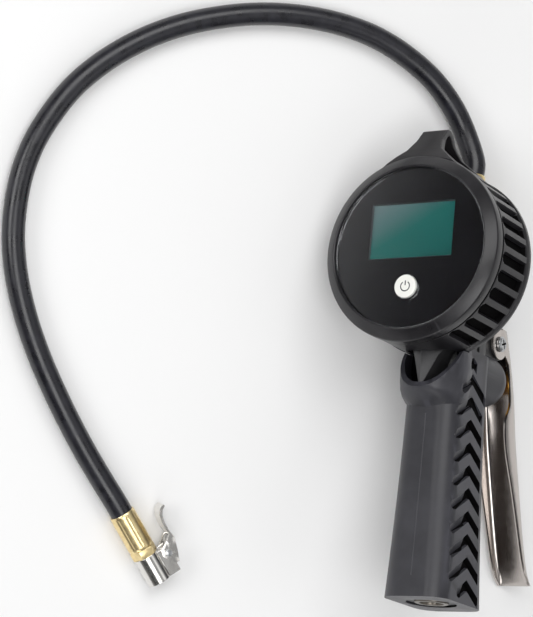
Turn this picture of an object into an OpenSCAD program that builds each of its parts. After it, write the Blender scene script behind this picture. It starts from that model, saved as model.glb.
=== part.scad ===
// Hand-held tyre inflator with a digital gauge head, pistol grip, trigger lever and clip-on chuck.
// It lies on its back on a flat surface, rolled on to the rim of its gauge, with its hose laid out.
// "Tool frame" below: X to the user's right, Y away from the gauge face, Z up the grip,
// origin where the gauge's own axis crosses the valve column's axis.

/* [Gauge head] */
// Outside diameter of the rubber boot
boot_d = 90; // [88:1:96]
// Depth of the boot from its outer front edge to its back edge
boot_depth = 39; // [38:1:44]
// Width of the rubber rim round the lens
rim_w = 6; // [6:0.5:8]
// Thickness of the lens
lens_t = 2; // [1.5:0.25:3]
// Distance from the column's axis forward to the face of the lens
face_reach = 50; // [50:1:54]
// Number of pocket places round the boot
boot_pockets = 32; // [24:1:36]
// Width of one pocket
pocket_w = 5.8; // [4:0.2:6]
// Depth of one pocket into the rubber
pocket_depth = 3.4; // [2:0.2:4]
// Height of the hanging loop above the boot
loop_rise = 18; // [14:1:24]
// Half width of the hanging loop at its crest
loop_half_w = 6.5; // [5:0.5:9]
// Width of the display window
window_w = 43.6; // [36:0.2:46]
// Height of the display window
window_h = 27; // [22:0.5:30]
// Height of the window's centre above the gauge's centre
window_up = 8.6; // [6:0.2:10]
// Diameter of the power button
button_d = 11; // [9:0.5:13]
// Distance of the power button below the gauge's centre
button_down = 19.2; // [18:0.2:24]
// Travel of the power button
button_travel = 0.6; // [0.3:0.1:0.8]

/* [Grip] */
// Distance from the gauge's centre down to the bottom of the grip
grip_bottom = 160; // [154:1:170]
// Width of the grip at its top
grip_w = 28.6; // [27:0.2:32]
// Depth of the grip at its top, front to back
grip_depth = 40; // [38:1:44]
// How much wider the grip is at its foot
grip_flare = 4.6; // [2:0.2:7]
// Corner radius of the grip's section
grip_corner = 9.5; // [7:0.5:12]
// Number of chevron grooves on each side of the grip
chevrons = 10; // [6:1:10]
// Spacing of the chevron grooves
chevron_pitch = 10.85; // [10:0.05:11]
// Depth of the chevron grooves
chevron_depth = 3.2; // [2:0.1:3.4]

/* [Valve and trigger] */
// Outside width of the trigger lever
lever_w = 18; // [17:0.5:21]
// Sheet thickness of the trigger lever
lever_t = 1.3; // [1.2:0.1:2]
// Diameter of the trigger's pivot screw
pivot_d = 5; // [4:0.5:6]
// Diameter of the valve stem
stem_d = 4; // [3:0.5:5]
// Diameter of the valve bore
valve_bore_d = 12; // [11:0.5:13]
// Diameter of the air passages
passage_d = 6; // [4:0.5:7]
// Diameter of the air inlet's bore
inlet_bore_d = 11.4; // [11:0.1:12]
// Length of the air inlet's bore
inlet_len = 14; // [12:1:18]

/* [Hose and chuck] */
// Outside diameter of the hose
hose_d = 11; // [10:0.5:12]
// Outside diameter of the crimped ferrules
ferrule_d = 12.4; // [12.2:0.2:14]
// Length of the crimped ferrules
ferrule_len = 19.5; // [16:0.5:22]
// Bore of the chuck, which takes a tyre valve's thread
chuck_bore_d = 8.4; // [8.2:0.1:9]
// Outside diameter of the chuck's barrel
chuck_d = 12; // [11.6:0.2:14]
// Length of the chuck's barrel
chuck_len = 14.2; // [13:0.2:18]

/* [Hidden] */
$fn = 64;

// Clearances
slip = 0.1;      // between pieces that are pushed together
run = 0.05;      // radial, of a shaft that turns or slides in its hole
gap = 0.3;       // between pieces that move past each other

// Gauge head
boot_r = boot_d / 2;
lens_r = boot_r - rim_w;
boot_lip = 1.3;                         // the boot's crest stands this far proud of the lens
flange_wall = 2.3;
flange_len = 6;
case_flange_r = lens_r + slip + flange_wall;
barrel_step = 2;
case_r = case_flange_r - barrel_step;
case_wall = 2;
case_in_r = case_r - case_wall;
plate_t = 1;
plate_at = lens_t;                      // depth of the dial plate's front behind the lens face
seat_at = plate_at + plate_t;           // depth of the shoulder that the dial plate rests on
display_t = 3.5;
board_t = 1.6;
board_at = seat_at + display_t;
back_t = 2.5;
boot_back_at = boot_depth - 0.6;        // depth of the boot's back face behind the lens face
back_lip = 1.4;
case_back_at = boot_back_at - back_lip - back_t;
back_lip_r = case_r - 2;
boss_r = 3;
screw_spread = 27.5;                    // distance of the case screws from the gauge's axis
cell_d = 20;
cell_t = 3.2;
cell_x = -23.8;
door_d = 23;
port_boss_r = 11.5;
sensor_hex_r = 8;
sensor_hex_t = 6;
sensor_body_r = 7;
sensor_body_len = 11.5;
sensor_stub_r = 5;
sensor_stub_len = 9;                    // reach of the stub behind the case's back
sensor_end_y = case_back_at + back_t + sensor_stub_len - face_reach;
window_corner = 1;

// Column, neck and valve housing
neck_r = 12;
neck_y = -17;
housing_back_y = 10;
column_front = -9;
column_back = 19;
column_half_w = 11;
column_low = -42;
column_top = 28;
outlet_y = 9;
shelf_z = -62;                          // bottom of the neck, where the grip's tube starts
keel_z = -61;                           // tip of the keel
keel_y = -29;
sleeve_top = -39;                       // the grip's rubber ends here behind the collar
valve_z = -45.5;
valve_housing_r = 10;
valve_front = -12;
valve_wall = 3;
valve_back = 38;
tube_r = 10;
spigot_r = 7;                           // the tube's upper end, pushed into the body
spigot_len = 5;
bushing_wall = 2.5;
foot_r = 12;
foot_h = 18;

// Trigger
pivot_y = 34;
pivot_z = -26.9;
ear_r = 7.6;
tongue_r = 8;
tongue_half_w = lever_w / 2 - lever_t - gap;
lever_corner = 2.8;

// Collar round the neck
collar_y = -13;
collar_wall = 1.8;
collar_slant = 55;
collar_rim = -64;                       // height of the rim at the front
collar_floor = -65;

// Chevrons
chevron_top = -50.6;                    // height of the first chevron's apex
chevron_w = 5.1;
chevron_heel = 2.8;                     // the deep slot starts this far ahead of the apex
chevron_wall = 0.6;                     // rubber left over the neck
chevron_slope = 0.56;
chevron_rear = 12;                      // reach of the rear arm
chevron_y = -2.6;                       // place of the first apex along the grip's depth
pad_depth = [0.4, 1.9];                 // of the front arm, at its upper and its lower edge

// Valve
boss_ball_r = 13;
boss_ball_y = 32.5;
gland_len = 9;
gland_flange_r = 7;
gland_flange_t = 3;
gland_hex_r = 6.2;
gland_back = boss_ball_y + boss_ball_r + 1.4;
seat_y = 3.5;
seat_t = 2.5;
seat_hole_r = 3.4;
poppet_r = 4.8;
poppet_t = 2;
stem_tail_y = 51.4;
spring_r = 3.6;
spring_wire_r = 0.5;
nut_r = 4.4;
nut_t = 2.8;
screw_head_r = 3.8;

// Fittings
fitting_stem_r = 5;
fitting_stem_len = 11;
fitting_hex_r = 8;
fitting_hex_t = 4.5;
barb_r = 3.2;

// Chuck, measured along its axis from the end of the hose
nipple_hex_r = 6.4;
nipple_hex_t = 4;
nipple_stem_r = 3.4;
nipple_stem_len = 4;
chuck_x = ferrule_len + nipple_hex_t + 2 * slip;
seal_t = 1.5;
seal_r = chuck_bore_d / 2 - 0.4;
lug_half_t = 3.5;
lug_top = 10.8;
slot_half_w = 1.6;
clip_x = chuck_x + 3.9;
clip_y = 9.4;
clip_t = 1;
clip_pin_r = 1.1;
chuck_rest_z = ferrule_d / 2;
chuck_at = [-143, -92];                 // where the hose ends, on the table
chuck_turn = -50;

// Side view of the lever, top to bottom: height, front edge of the flanges, back of the web
lever_stations = [
    [-18.8, 35.5, 42.4], [-24, 36.5, 45], [-30, 39, 48], [-35, 45.6, 50.2], [-44, 48.2, 53.7],
    [-52, 50.4, 56.3], [-56, 49.6, 57.4], [-62, 47, 58.8], [-70, 47.8, 60.8], [-80, 51.6, 64],
    [-92, 58.4, 68.1], [-104, 64.7, 72.2], [-116, 70.6, 76.6], [-126, 75.6, 80.8],
    [-133, 80.4, 84.7], [-137.4, 86, 88.4]];

// ---------- resting attitude ----------
// The tool rests on two corners of the lever and on the boot's back rim. The plane through the
// corners that also touches the rim is found by stepping.
high_corner = channel_points(lever_stations[3], 0)[8];
low_corner = channel_points(lever_stations[15], 0)[8];
rim_y = boot_back_at - 0.4 - face_reach;

function unit(v) = v / norm(v);
// Lowest point of the boot's back rim, seen along the direction n that points into the table
function rim_point(n) = [0, rim_y, 0] + boot_r * unit([n[0], 0, n[2]]);
function down_from(n) =
    let (c = cross(high_corner - low_corner, rim_point(n) - low_corner)) unit(c[1] < 0 ? -c : c);
function settle(n, steps) = steps == 0 ? n : settle(unit(n + down_from(n)), steps - 1);
down = settle(unit([-0.75, 0.62, 0.24]), 40);
up = -down;
// The handle's direction, laid on the table, becomes the part's +Y
along = unit([0, 0, 1] - up[2] * up);
across = cross(along, up);
rest_height = down * low_corner;
// Brings the middle of the tool over the origin
rest_shift = [-3.9, 47.1];

function on_table(p) = [across * p + rest_shift[0], along * p + rest_shift[1], up * p + rest_height];

// Centreline of the hose: straight out of the upper ferrule, down to the table, round the top of
// the gauge and down its left side to the chuck
hose_z = hose_d / 2 + 0.1;
hose_start = column_top + fitting_hex_t + slip + ferrule_len;
chuck_dir = [cos(chuck_turn), sin(chuck_turn)];
hose_plan = [[-4, 119], [-13, 130], [-25, 140], [-40, 148], [-56, 153.6], [-72, 156.2], [-88, 156.7],
    [-104.5, 155.4], [-121, 152.3], [-136.6, 147.6], [-152, 141.4], [-166, 133.8], [-179, 124.6],
    [-190.7, 114], [-200.8, 102], [-208.6, 88.6], [-214.6, 74.3], [-218, 59.6], [-218.8, 44.6],
    [-217.6, 29.4], [-214.1, 14.5], [-208.8, 0.3], [-202, -13.7], [-194.2, -27], [-185.8, -39.5],
    [-176.7, -52], [-167, -64.3], [-157, -76]];
hose_route = concat(
    [on_table([0, outlet_y, hose_start]), on_table([0, outlet_y, hose_start + 8])],
    [for (q = hose_plan) [q[0], q[1], hose_z]],
    [[chuck_at[0] - 6 * chuck_dir[0], chuck_at[1] - 6 * chuck_dir[1], chuck_rest_z],
     [chuck_at[0], chuck_at[1], chuck_rest_z]]);

// Puts a piece from the tool frame on to the table
module lay() {
    translate([rest_shift[0], rest_shift[1], rest_height])
        multmatrix([[across[0], across[1], across[2], 0],
                    [along[0], along[1], along[2], 0],
                    [up[0], up[1], up[2], 0],
                    [0, 0, 0, 1]])
            children();
}

// ---------- helpers ----------
// Local frame of the gauge: z runs back into the tool from the face of the lens, y runs down
module on_gauge(depth = 0) {
    translate([0, depth - face_reach, 0]) rotate([-90, 0, 0]) children();
}

// Disc or tube standing along the tool's Y axis, from y0 to y1
module rod_y(r, y0, y1, x = 0, z = 0) {
    translate([x, y0, z]) rotate([-90, 0, 0]) cylinder(r = r, h = y1 - y0);
}

// Rod along the tool's X axis, from x0 to x1
module rod_x(r, x0, x1, y = 0, z = 0) {
    translate([x0, y, z]) rotate([0, 90, 0]) cylinder(r = r, h = x1 - x0);
}

// Block with its vertical edges rounded
module post(x0, x1, y0, y1, z0, z1, r) {
    translate([0, 0, z0]) linear_extrude(z1 - z0) {
        translate([x0 + r, y0]) square([x1 - x0 - 2 * r, y1 - y0]);
        translate([x0, y0 + r]) square([x1 - x0, y1 - y0 - 2 * r]);
        for (x = [x0 + r, x1 - r], y = [y0 + r, y1 - r]) translate([x, y]) circle(r);
    }
}

// Ring of points round a rectangle with rounded corners, n points to a corner
function corner_ring(a, b, r, yc, z, n) = [
    for (q = [0:3], i = [0:n - 1])
        let (t = 90 * (q + i / (n - 1)),
             cx = (q == 0 || q == 3 ? 1 : -1) * (a - r),
             cy = (q < 2 ? 1 : -1) * (b - r))
        [cx + r * cos(t), yc + cy + r * sin(t), z]];

// Closed skin over rings that all have the same number of points
module loft(rings) {
    m = len(rings[0]);
    n = len(rings);
    points = [for (ring = rings) each ring];
    faces = concat(
        [[for (i = [0:m - 1]) i]],
        [[for (i = [m - 1:-1:0]) (n - 1) * m + i]],
        [for (k = [0:n - 2], i = [0:m - 1])
            let (j = (i + 1) % m, a = k * m + i, b = k * m + j)
            each [[a, a + m, b + m], [a, b + m, b]]]);
    polyhedron(points, faces, convexity = 6);
}

// Catmull-Rom curve through the route, k steps to a stretch
function curve_point(p, i, t) =
    let (n = len(p) - 1, a = p[max(i - 1, 0)], b = p[i], c = p[min(i + 1, n)], d = p[min(i + 2, n)])
    0.5 * ((2 * b) + (c - a) * t + (2 * a - 5 * b + 4 * c - d) * t * t
        + (3 * b - a - 3 * c + d) * t * t * t);
function smooth_route(p, k) = concat(
    [for (i = [0:len(p) - 2], j = [0:k - 1]) curve_point(p, i, j / k)], [p[len(p) - 1]]);

module hose_tube(route) {
    sides = 10;
    path = smooth_route(route, 2);
    n = len(path) - 1;
    m = len(route) - 1;
    loft([for (i = [0:n])
        let (d = unit(i == 0 ? route[1] - route[0] : i == n ? route[m] - route[m - 1]
                : path[i + 1] - path[i - 1]),
             side = unit(cross([0, 0, 1], d)), top = cross(d, side))
        [for (k = [0:sides - 1]) let (a = 360 * k / sides)
            path[i] + hose_d / 2 * (cos(a) * side + sin(a) * top)]]);
}

// ---------- gauge head ----------
module boot_profile() {
    polygon([
        [lens_r + 0.3, -slip], [lens_r + 0.3, -boot_lip + 0.4], [lens_r + 1, -boot_lip],
        [boot_r - 0.4, 2], [boot_r, 2.6], [boot_r, 7.4], [boot_r - 1, 8],
        [boot_r - 1, 8.8], [boot_r - 0.4, 9.4],
        [boot_r - 0.4, boot_back_at - 4.2], [boot_r - 1, boot_back_at - 3.6],
        [boot_r, boot_back_at - 2.8], [boot_r, boot_back_at - 0.4],
        [boot_r - 0.4, boot_back_at],
        [back_lip_r, boot_back_at], [back_lip_r, boot_back_at - back_lip + slip],
        [case_r + slip, boot_back_at - back_lip + slip],
        [case_r + slip, flange_len + slip], [case_flange_r + slip, flange_len + slip],
        [case_flange_r + slip, -slip]]);
}

module boot_pocket(angle) {
    front = 9.8;
    back = boot_back_at - 4.2;
    rotate([0, 0, angle]) translate([boot_r - pocket_depth, 0, 0]) {
        translate([0, -pocket_w / 2, front + pocket_w / 2])
            cube([pocket_depth + 1, pocket_w, back - front - pocket_w / 2]);
        translate([0, 0, front + pocket_w / 2]) rotate([0, 90, 0])
            cylinder(d = pocket_w, h = pocket_depth + 1);
    }
}

// Edge of the hanging loop from its foot to its crest: added half width, height above its base
loop_edge = [[22, -6], [11.5, 2], [2.6, 10], [0.4, 16], [0, loop_rise + 6]];

// Strap on top of the boot with its hole from side to side
module loop_strap() {
    base = boot_r - 5;
    crest = boot_r + loop_rise;
    intersection() {
        // side view, Y and Z
        translate([-boot_r, 0, 0]) rotate([90, 0, 90]) linear_extrude(boot_d) difference() {
            polygon([[-47.2, base - 6], [-47.2, boot_r - 2], [-45.6, boot_r + 1.5],
                [-43, boot_r + 5.2], [-38, boot_r + 11.4], [-33.4, crest - 1], [-31, crest],
                [-28.5, crest - 0.4], [-26.6, crest - 2.2], [-22, crest - 9], [-12.5, boot_r - 1],
                [-12.5, base - 6]]);
            polygon([[-39.5, boot_r - 1.4], [-40.4, boot_r + 2], [-39, boot_r + 5.2],
                [-34.8, boot_r + 10.6], [-32, crest - 3.8], [-30.4, crest - 3.4],
                [-28.6, crest - 4.6], [-24, crest - 11], [-15.8, boot_r - 1.4]]);
        }
        // front view, X and Z
        rotate([90, 0, 0]) linear_extrude(boot_d) polygon([
            for (s = [1, -1]) each [for (i = [0:4]) let (q = loop_edge[s > 0 ? i : 4 - i])
                [s * (loop_half_w + q[0]), base + q[1]]]]);
    }
}

// The strap's feet follow the boot, which they are bonded to
module hanging_loop() {
    color([0.23, 0.23, 0.24]) lay() difference() {
        loop_strap();
        on_gauge() rotate_extrude($fn = 128) boot_profile();
        on_gauge(-boot_lip) cylinder(r = case_flange_r + 2 * slip, h = 2 * boot_depth);
    }
}

module gauge_boot() {
    color([0.23, 0.23, 0.24]) lay() difference() {
        on_gauge() rotate_extrude($fn = 128) boot_profile();
        on_gauge() for (i = [0:boot_pockets - 1]) let (a = 360 * (i + 0.5) / boot_pockets) {
            if (abs(a - 270) > 34 && abs(a - 90) > 19) boot_pocket(a);
        }
        // notch for the neck
        translate([0, neck_y, -boot_r - 1]) cylinder(r = neck_r + gap, h = 14);
        translate([-neck_r - gap, neck_y, -boot_r - 1]) cube([2 * (neck_r + gap), 20, 14]);
    }
}

module gauge_case() {
    color([0.12, 0.12, 0.13]) lay() difference() {
        union() {
            on_gauge() cylinder(r = case_flange_r, h = flange_len);
            on_gauge() cylinder(r = case_r, h = case_back_at);
        }
        on_gauge(-1) cylinder(r = lens_r + slip, h = seat_at + 1);
        on_gauge() difference() {
            translate([0, 0, 1]) cylinder(r = case_in_r, h = case_back_at);
            for (a = [45:90:315]) rotate([0, 0, a]) translate([screw_spread, 0, board_at + board_t])
                difference() {
                    union() {
                        cylinder(r = boss_r, h = case_back_at - board_at - board_t);
                        translate([0, -1, 0]) cube([case_in_r - screw_spread + 0.5, 2,
                            case_back_at - board_at - board_t]);
                    }
                    translate([0, 0, case_back_at - board_at - board_t - 9])
                        cylinder(r = 1.4, h = 10);
                }
        }
    }
}

module case_back() {
    color([0.12, 0.12, 0.13]) lay() difference() {
        union() {
            on_gauge(case_back_at) cylinder(r = case_r, h = back_t);
            on_gauge(case_back_at - cell_t - 1.2) translate([cell_x, 0, 0])
                cylinder(d = door_d + 3, h = cell_t + 1.3);
        }
        on_gauge(case_back_at - cell_t) translate([cell_x, 0, 0]) cylinder(d = door_d + 0.4, h = 9);
        on_gauge(case_back_at - 1) cylinder(r = sensor_stub_r + 2 * slip, h = 9);
        for (a = [45:90:315]) on_gauge(case_back_at - 1) rotate([0, 0, a])
            translate([screw_spread, 0, 0]) cylinder(r = 1.6, h = 9);
    }
}

module case_screws() {
    color("silver") lay() for (a = [45:90:315]) on_gauge(case_back_at + back_t) rotate([0, 0, a])
        translate([screw_spread, 0, 0]) difference() {
            union() {
                cylinder(r = 2.9, h = 1.7);
                translate([0, 0, -back_t - 7]) cylinder(r = 1.35, h = back_t + 7.1);
            }
            for (q = [0, 90]) rotate([0, 0, q]) translate([-1.8, -0.4, 0.8]) cube([3.6, 0.8, 2]);
        }
}

module battery_door() {
    color([0.16, 0.16, 0.17]) lay() on_gauge(case_back_at) translate([cell_x, 0, 0]) difference() {
        cylinder(d = door_d, h = back_t);
        translate([-7, -0.9, back_t - 1.2]) cube([14, 1.8, 2]);
    }
}

module coin_cell() {
    color("silver") lay() on_gauge(case_back_at - cell_t) translate([cell_x, 0, 0]) {
        cylinder(d = cell_d, h = cell_t);
    }
}

module circuit_board() {
    color([0.05, 0.30, 0.15]) lay() on_gauge(board_at) cylinder(r = case_in_r - gap, h = board_t);
}

module display_module() {
    color([0.16, 0.45, 0.42]) lay() on_gauge(seat_at) translate([0, -window_up, display_t / 2])
        cube([window_w + 5, window_h + 4, display_t], center = true);
}

module button_switch() {
    h = board_at - (seat_at + gap + 1 + button_travel + slip);
    color([0.1, 0.1, 0.1]) lay() on_gauge(board_at - h) translate([-3, button_down - 3, 0])
        cube([6, 6, h]);
}

module dial_plate() {
    color([0.08, 0.08, 0.09]) lay() on_gauge(plate_at) difference() {
        cylinder(r = lens_r, h = plate_t);
        translate([-window_w / 2, -window_up - window_h / 2, -1]) cube([window_w, window_h, 3]);
        translate([0, button_down, -1]) cylinder(d = button_d + 2 * gap, h = 3);
    }
}

module lens() {
    color([0.5, 0.55, 0.6, 0.35]) lay() on_gauge() difference() {
        cylinder(r = lens_r, h = lens_t);
        translate([0, button_down, -1]) cylinder(d = button_d + 2 * gap, h = lens_t + 2);
    }
}

module power_button() {
    color([0.93, 0.93, 0.93]) lay() on_gauge(-0.7) translate([0, button_down, 0]) {
        cylinder(d = button_d, h = seat_at + 0.8 + gap);
        translate([0, 0, seat_at + 0.7 + gap]) cylinder(d = button_d + 2.4, h = 1);
    }
}

module pressure_sensor() {
    color([0.80, 0.66, 0.35]) lay() on_gauge(case_back_at) {
        translate([0, 0, -sensor_hex_t]) cylinder(r = sensor_hex_r, h = sensor_hex_t, $fn = 6);
        translate([0, 0, 0.5 - sensor_hex_t - sensor_body_len])
            cylinder(r = sensor_body_r, h = sensor_body_len);
        translate([0, 0, -1]) cylinder(r = sensor_stub_r, h = back_t + sensor_stub_len + 1);
    }
}

// ---------- body ----------
// Front of the neck: a wedge in plan that narrows to a point, t larger all round
module prow(t) {
    w = neck_r + t;
    intersection() {
        translate([0, 0, keel_z - 5]) linear_extrude(50)
            polygon([[-w, -8], [-w, keel_y + 9], [0, keel_y - t], [w, keel_y + 9], [w, -8]]);
        translate([0, -8, 0]) rotate([90, 0, 0]) linear_extrude(30)
            polygon([[-w, -18], [-w, -36], [-6.3 - t, -46], [-0.8 - t, keel_z - t],
                [0.8 + t, keel_z - t], [6.3 + t, -46], [w, -36], [w, -18]]);
    }
}

module core_body() {
    color([0.17, 0.17, 0.18]) lay() difference() {
        union() {
            // neck, whose front narrows to a keel
            prow(0);
            translate([-neck_r, -10, shelf_z]) cube([2 * neck_r, housing_back_y + 10, -shelf_z - 20]);
            translate([0, housing_back_y, shelf_z]) cylinder(r = neck_r, h = -shelf_z - 20);
            // column behind the gauge
            post(-column_half_w, column_half_w, column_front, column_back, column_low, column_top, 5);
            rod_y(port_boss_r, case_back_at + back_t - face_reach + slip, column_front + 3);
            // valve housing
            rod_y(valve_housing_r, valve_front, valve_back, z = valve_z);
            // tongue for the trigger's pivot
            rod_x(tongue_r, -tongue_half_w, tongue_half_w, pivot_y, pivot_z);
            translate([-tongue_half_w, 5, pivot_z - tongue_r])
                cube([2 * tongue_half_w, pivot_y - 5, 2 * tongue_r]);
        }
        // the neck's saddle under the gauge case
        on_gauge(-2) cylinder(r = case_r + slip, h = case_back_at + back_t + 2 + slip);
        on_gauge(case_back_at + back_t + slip - 0.01) difference() {
            cylinder(r = boot_r + gap, h = boot_back_at - case_back_at - back_t + 0.4);
            cylinder(r = port_boss_r, h = 9);
            translate([-neck_r, 0, -1]) cube([2 * neck_r, boot_r + 9, 9]);
        }
        // bores: socket and passage from the grip's tube, valve, passage to the outlet, gauge port
        translate([0, 0, shelf_z - 1]) cylinder(r = spigot_r + slip, h = spigot_len + 1 + slip);
        translate([0, 0, shelf_z]) cylinder(d = passage_d, h = valve_z - shelf_z);
        rod_y(valve_bore_d / 2, valve_front + valve_wall, valve_back + 1, z = valve_z);
        translate([0, outlet_y, valve_z]) cylinder(d = passage_d, h = column_top - valve_z + 1);
        translate([0, outlet_y, column_top - fitting_stem_len - 1])
            cylinder(r = fitting_stem_r + slip, h = fitting_stem_len + 2);
        rod_y(sensor_stub_r + slip, -20, sensor_end_y + slip);
        rod_y(passage_d / 2, sensor_end_y, outlet_y);
        rod_x(pivot_d / 2 + run, -20, 20, pivot_y, pivot_z);
        // grooves on the sides of the housing
        for (s = [-1, 1]) translate([s * neck_r, 5, -41]) cylinder(r = 1.3, h = 12);
    }
}

// Tube inside the grip, from the air inlet in its foot up to the body
module grip_tube() {
    color([0.17, 0.17, 0.18]) lay() difference() {
        union() {
            translate([0, 0, 2 - grip_bottom]) cylinder(r = tube_r, h = grip_bottom - 2 + shelf_z - slip);
            translate([0, 0, 1 - grip_bottom]) cylinder(r = foot_r, h = foot_h);
            translate([0, 0, shelf_z - 1]) cylinder(r = spigot_r, h = spigot_len + 1);
        }
        translate([0, 0, -grip_bottom]) cylinder(d = inlet_bore_d + 2 * bushing_wall, h = inlet_len + 1);
        translate([0, 0, -grip_bottom]) cylinder(d = passage_d, h = grip_bottom + shelf_z + spigot_len + 1);
    }
}

function grip_half_w(z) = grip_w / 2 + grip_flare / 2 * pow((shelf_z - z) / (grip_bottom + shelf_z), 1.5);
function grip_half_d(z) = grip_depth / 2 + grip_flare * 0.8 * pow((shelf_z - z) / (grip_bottom + shelf_z), 1.5);

module grip_outside() {
    n = 7;
    steps = 8;
    length = grip_bottom + shelf_z;
    loft(concat(
        [for (i = [steps:-1:0]) let (z = shelf_z - length * i / steps)
            corner_ring(grip_half_w(z), grip_half_d(z), grip_corner, 1.2 * i / steps - 0.5, z, n)],
        [corner_ring(grip_w / 2, grip_depth / 2, grip_corner, -0.5, sleeve_top, n)]));
}

// One level of the collar: an ellipse round the neck
function collar_ring(z, half_w, half_d) = [for (i = [0:31])
    [half_w * cos(i * 11.25), collar_y + half_d * sin(i * 11.25), z]];

module collar(t) {
    rings = [[-71, 11, 6], [-67, 14.2, 11.5], [-64.6, 15.2, 16.4], [-62, 15.8, 18.2],
        [-58, 16.2, 18.8], [-50, 16.6, 18.8], [-42, 16, 18], [-34, 14.4, 16]];
    loft([for (r = rings) collar_ring(r[0] + t * 1.4, r[1] - t, r[2] - t)]);
}

// Groove with its apex at height zc: a pad forward whose floor sinks to its lower edge, and a deep
// slot backward
module chevron_cut(zc, front, rear) {
    x_out = grip_half_w(min(zc, shelf_z));
    floor_x = zc > shelf_z - 1 ? neck_r + slip + chevron_wall : x_out - chevron_depth;
    reach = (chevron_top - zc) / (grip_bottom + chevron_top);
    lean = atan(chevron_slope);
    band = chevron_w * cos(lean);
    length = front / cos(lean);
    tilt = atan((pad_depth[1] - pad_depth[0]) / band);
    heel = min(chevron_heel, front);
    for (s = [0, 1]) mirror([s, 0, 0]) translate([0, chevron_y + 6 * reach, zc]) rotate([90, 0, 90]) {
        translate([0, 0, floor_x]) linear_extrude(grip_w)
            polygon([[0, 0], [-heel, -chevron_slope * heel], [-heel, -chevron_slope * heel - chevron_w],
                [0, -chevron_w], [rear, -chevron_slope * rear - chevron_w],
                [rear, -chevron_slope * rear]]);
        rotate([0, 0, lean]) translate([0, 0, x_out - pad_depth[0]]) rotate([tilt, 0, 0])
            linear_extrude(grip_w) {
                translate([-length, -band]) square([length, band]);
                translate([-length, -band / 2]) circle(d = band);
            }
    }
}

module grip_sleeve() {
    color([0.27, 0.27, 0.29]) lay() difference() {
        union() {
            grip_outside();
            collar(0);
            rod_y(boss_ball_r, 0, boss_ball_y, z = valve_z);
            translate([0, boss_ball_y, valve_z]) sphere(r = boss_ball_r);
        }
        // scoop under the gauge, cut off along a slant
        intersection() {
            collar(collar_wall);
            translate([-30, -60, collar_floor]) cube([60, 60 - tube_r - 1, 40]);
        }
        prow(slip);
        translate([-40, collar_y - 19, collar_rim]) rotate([collar_slant, 0, 0])
            translate([0, -40, 0]) cube([80, 100, 60]);
        translate([-40, -40, sleeve_top]) cube([80, 44, 40]);
        // room for the boot, then for the core
        on_gauge(-2) cylinder(r = boot_r + gap + 0.1, h = boot_back_at + 2 + gap);
        post(-column_half_w - slip, column_half_w + slip, column_front, column_back + slip,
            column_low - slip, 0, 5 + slip);
        translate([0, 0, -grip_bottom - 1]) cylinder(r = tube_r + slip, h = grip_bottom);
        translate([0, 0, -grip_bottom - 1]) cylinder(r = foot_r + slip, h = foot_h + 2 + slip);
        translate([-neck_r - slip, -10 - slip, shelf_z - slip])
            cube([2 * (neck_r + slip), housing_back_y + 10, 60]);
        translate([0, housing_back_y, shelf_z - slip]) cylinder(r = neck_r + slip, h = 60);
        rod_y(valve_housing_r + slip, valve_front, valve_back + slip, z = valve_z);
        rod_y(7.2, valve_back, boss_ball_y + boss_ball_r + 1, z = valve_z);
        translate([-tongue_half_w - slip, 5, pivot_z - tongue_r - slip])
            cube([2 * (tongue_half_w + slip), 60, 40]);
        chevron_cut(chevron_top + 8, 4, 4);
        for (i = [0:chevrons - 1])
            chevron_cut(chevron_top - i * chevron_pitch, i == chevrons - 1 ? 9 : 12 + 0.6 * i,
                i == 0 ? chevron_rear + 4 : chevron_rear);
    }
}

module inlet_bushing() {
    color([0.72, 0.72, 0.72]) lay() translate([0, 0, -grip_bottom]) difference() {
        cylinder(d = inlet_bore_d + 2 * (bushing_wall - slip), h = inlet_len);
        translate([0, 0, -1]) cylinder(d = inlet_bore_d, h = inlet_len + 2);
    }
}

// ---------- valve and trigger ----------
module valve_gland() {
    color([0.85, 0.68, 0.33]) lay() difference() {
        union() {
            rod_y(valve_bore_d / 2 - run, valve_back - gland_len, valve_back, z = valve_z);
            rod_y(gland_flange_r, valve_back, valve_back + gland_flange_t, z = valve_z);
            translate([0, valve_back, valve_z]) rotate([-90, 0, 0])
                cylinder(r = gland_hex_r, h = gland_back - valve_back, $fn = 6);
        }
        rod_y(stem_d / 2 + run, 0, 90, z = valve_z);
    }
}

module valve_seat() {
    color([0.85, 0.68, 0.33]) lay() difference() {
        rod_y(valve_bore_d / 2 - run, seat_y, seat_y + seat_t, z = valve_z);
        rod_y(seat_hole_r, seat_y - 1, seat_y + seat_t + 1, z = valve_z);
    }
}

// The stem's tail stands just clear of the lever's web
module valve_stem() {
    color([0.85, 0.68, 0.33]) lay() union() {
        rod_y(stem_d / 2, seat_y - gap - poppet_t, stem_tail_y, z = valve_z);
        rod_y(poppet_r, seat_y - gap - poppet_t, seat_y - gap, z = valve_z);
    }
}

// Wire coil along the tool's Y axis
module coil_spring(r, wire_r, y0, y1, turns, steps, sides) {
    n = turns * steps;
    loft([for (i = [0:n])
        let (t = 360 * i / steps, y = y0 + (y1 - y0) * i / n)
        [for (k = [0:sides - 1])
            let (a = 360 * k / sides, q = r + wire_r * cos(a))
            [q * cos(t), y + wire_r * sin(a), q * sin(t)]]]);
}

module valve_spring() {
    color("silver") lay() translate([0, 0, valve_z])
        coil_spring(spring_r, spring_wire_r, valve_front + valve_wall + spring_wire_r + slip,
            seat_y - gap - poppet_t - spring_wire_r - slip, 3, 12, 6);
}

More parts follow.
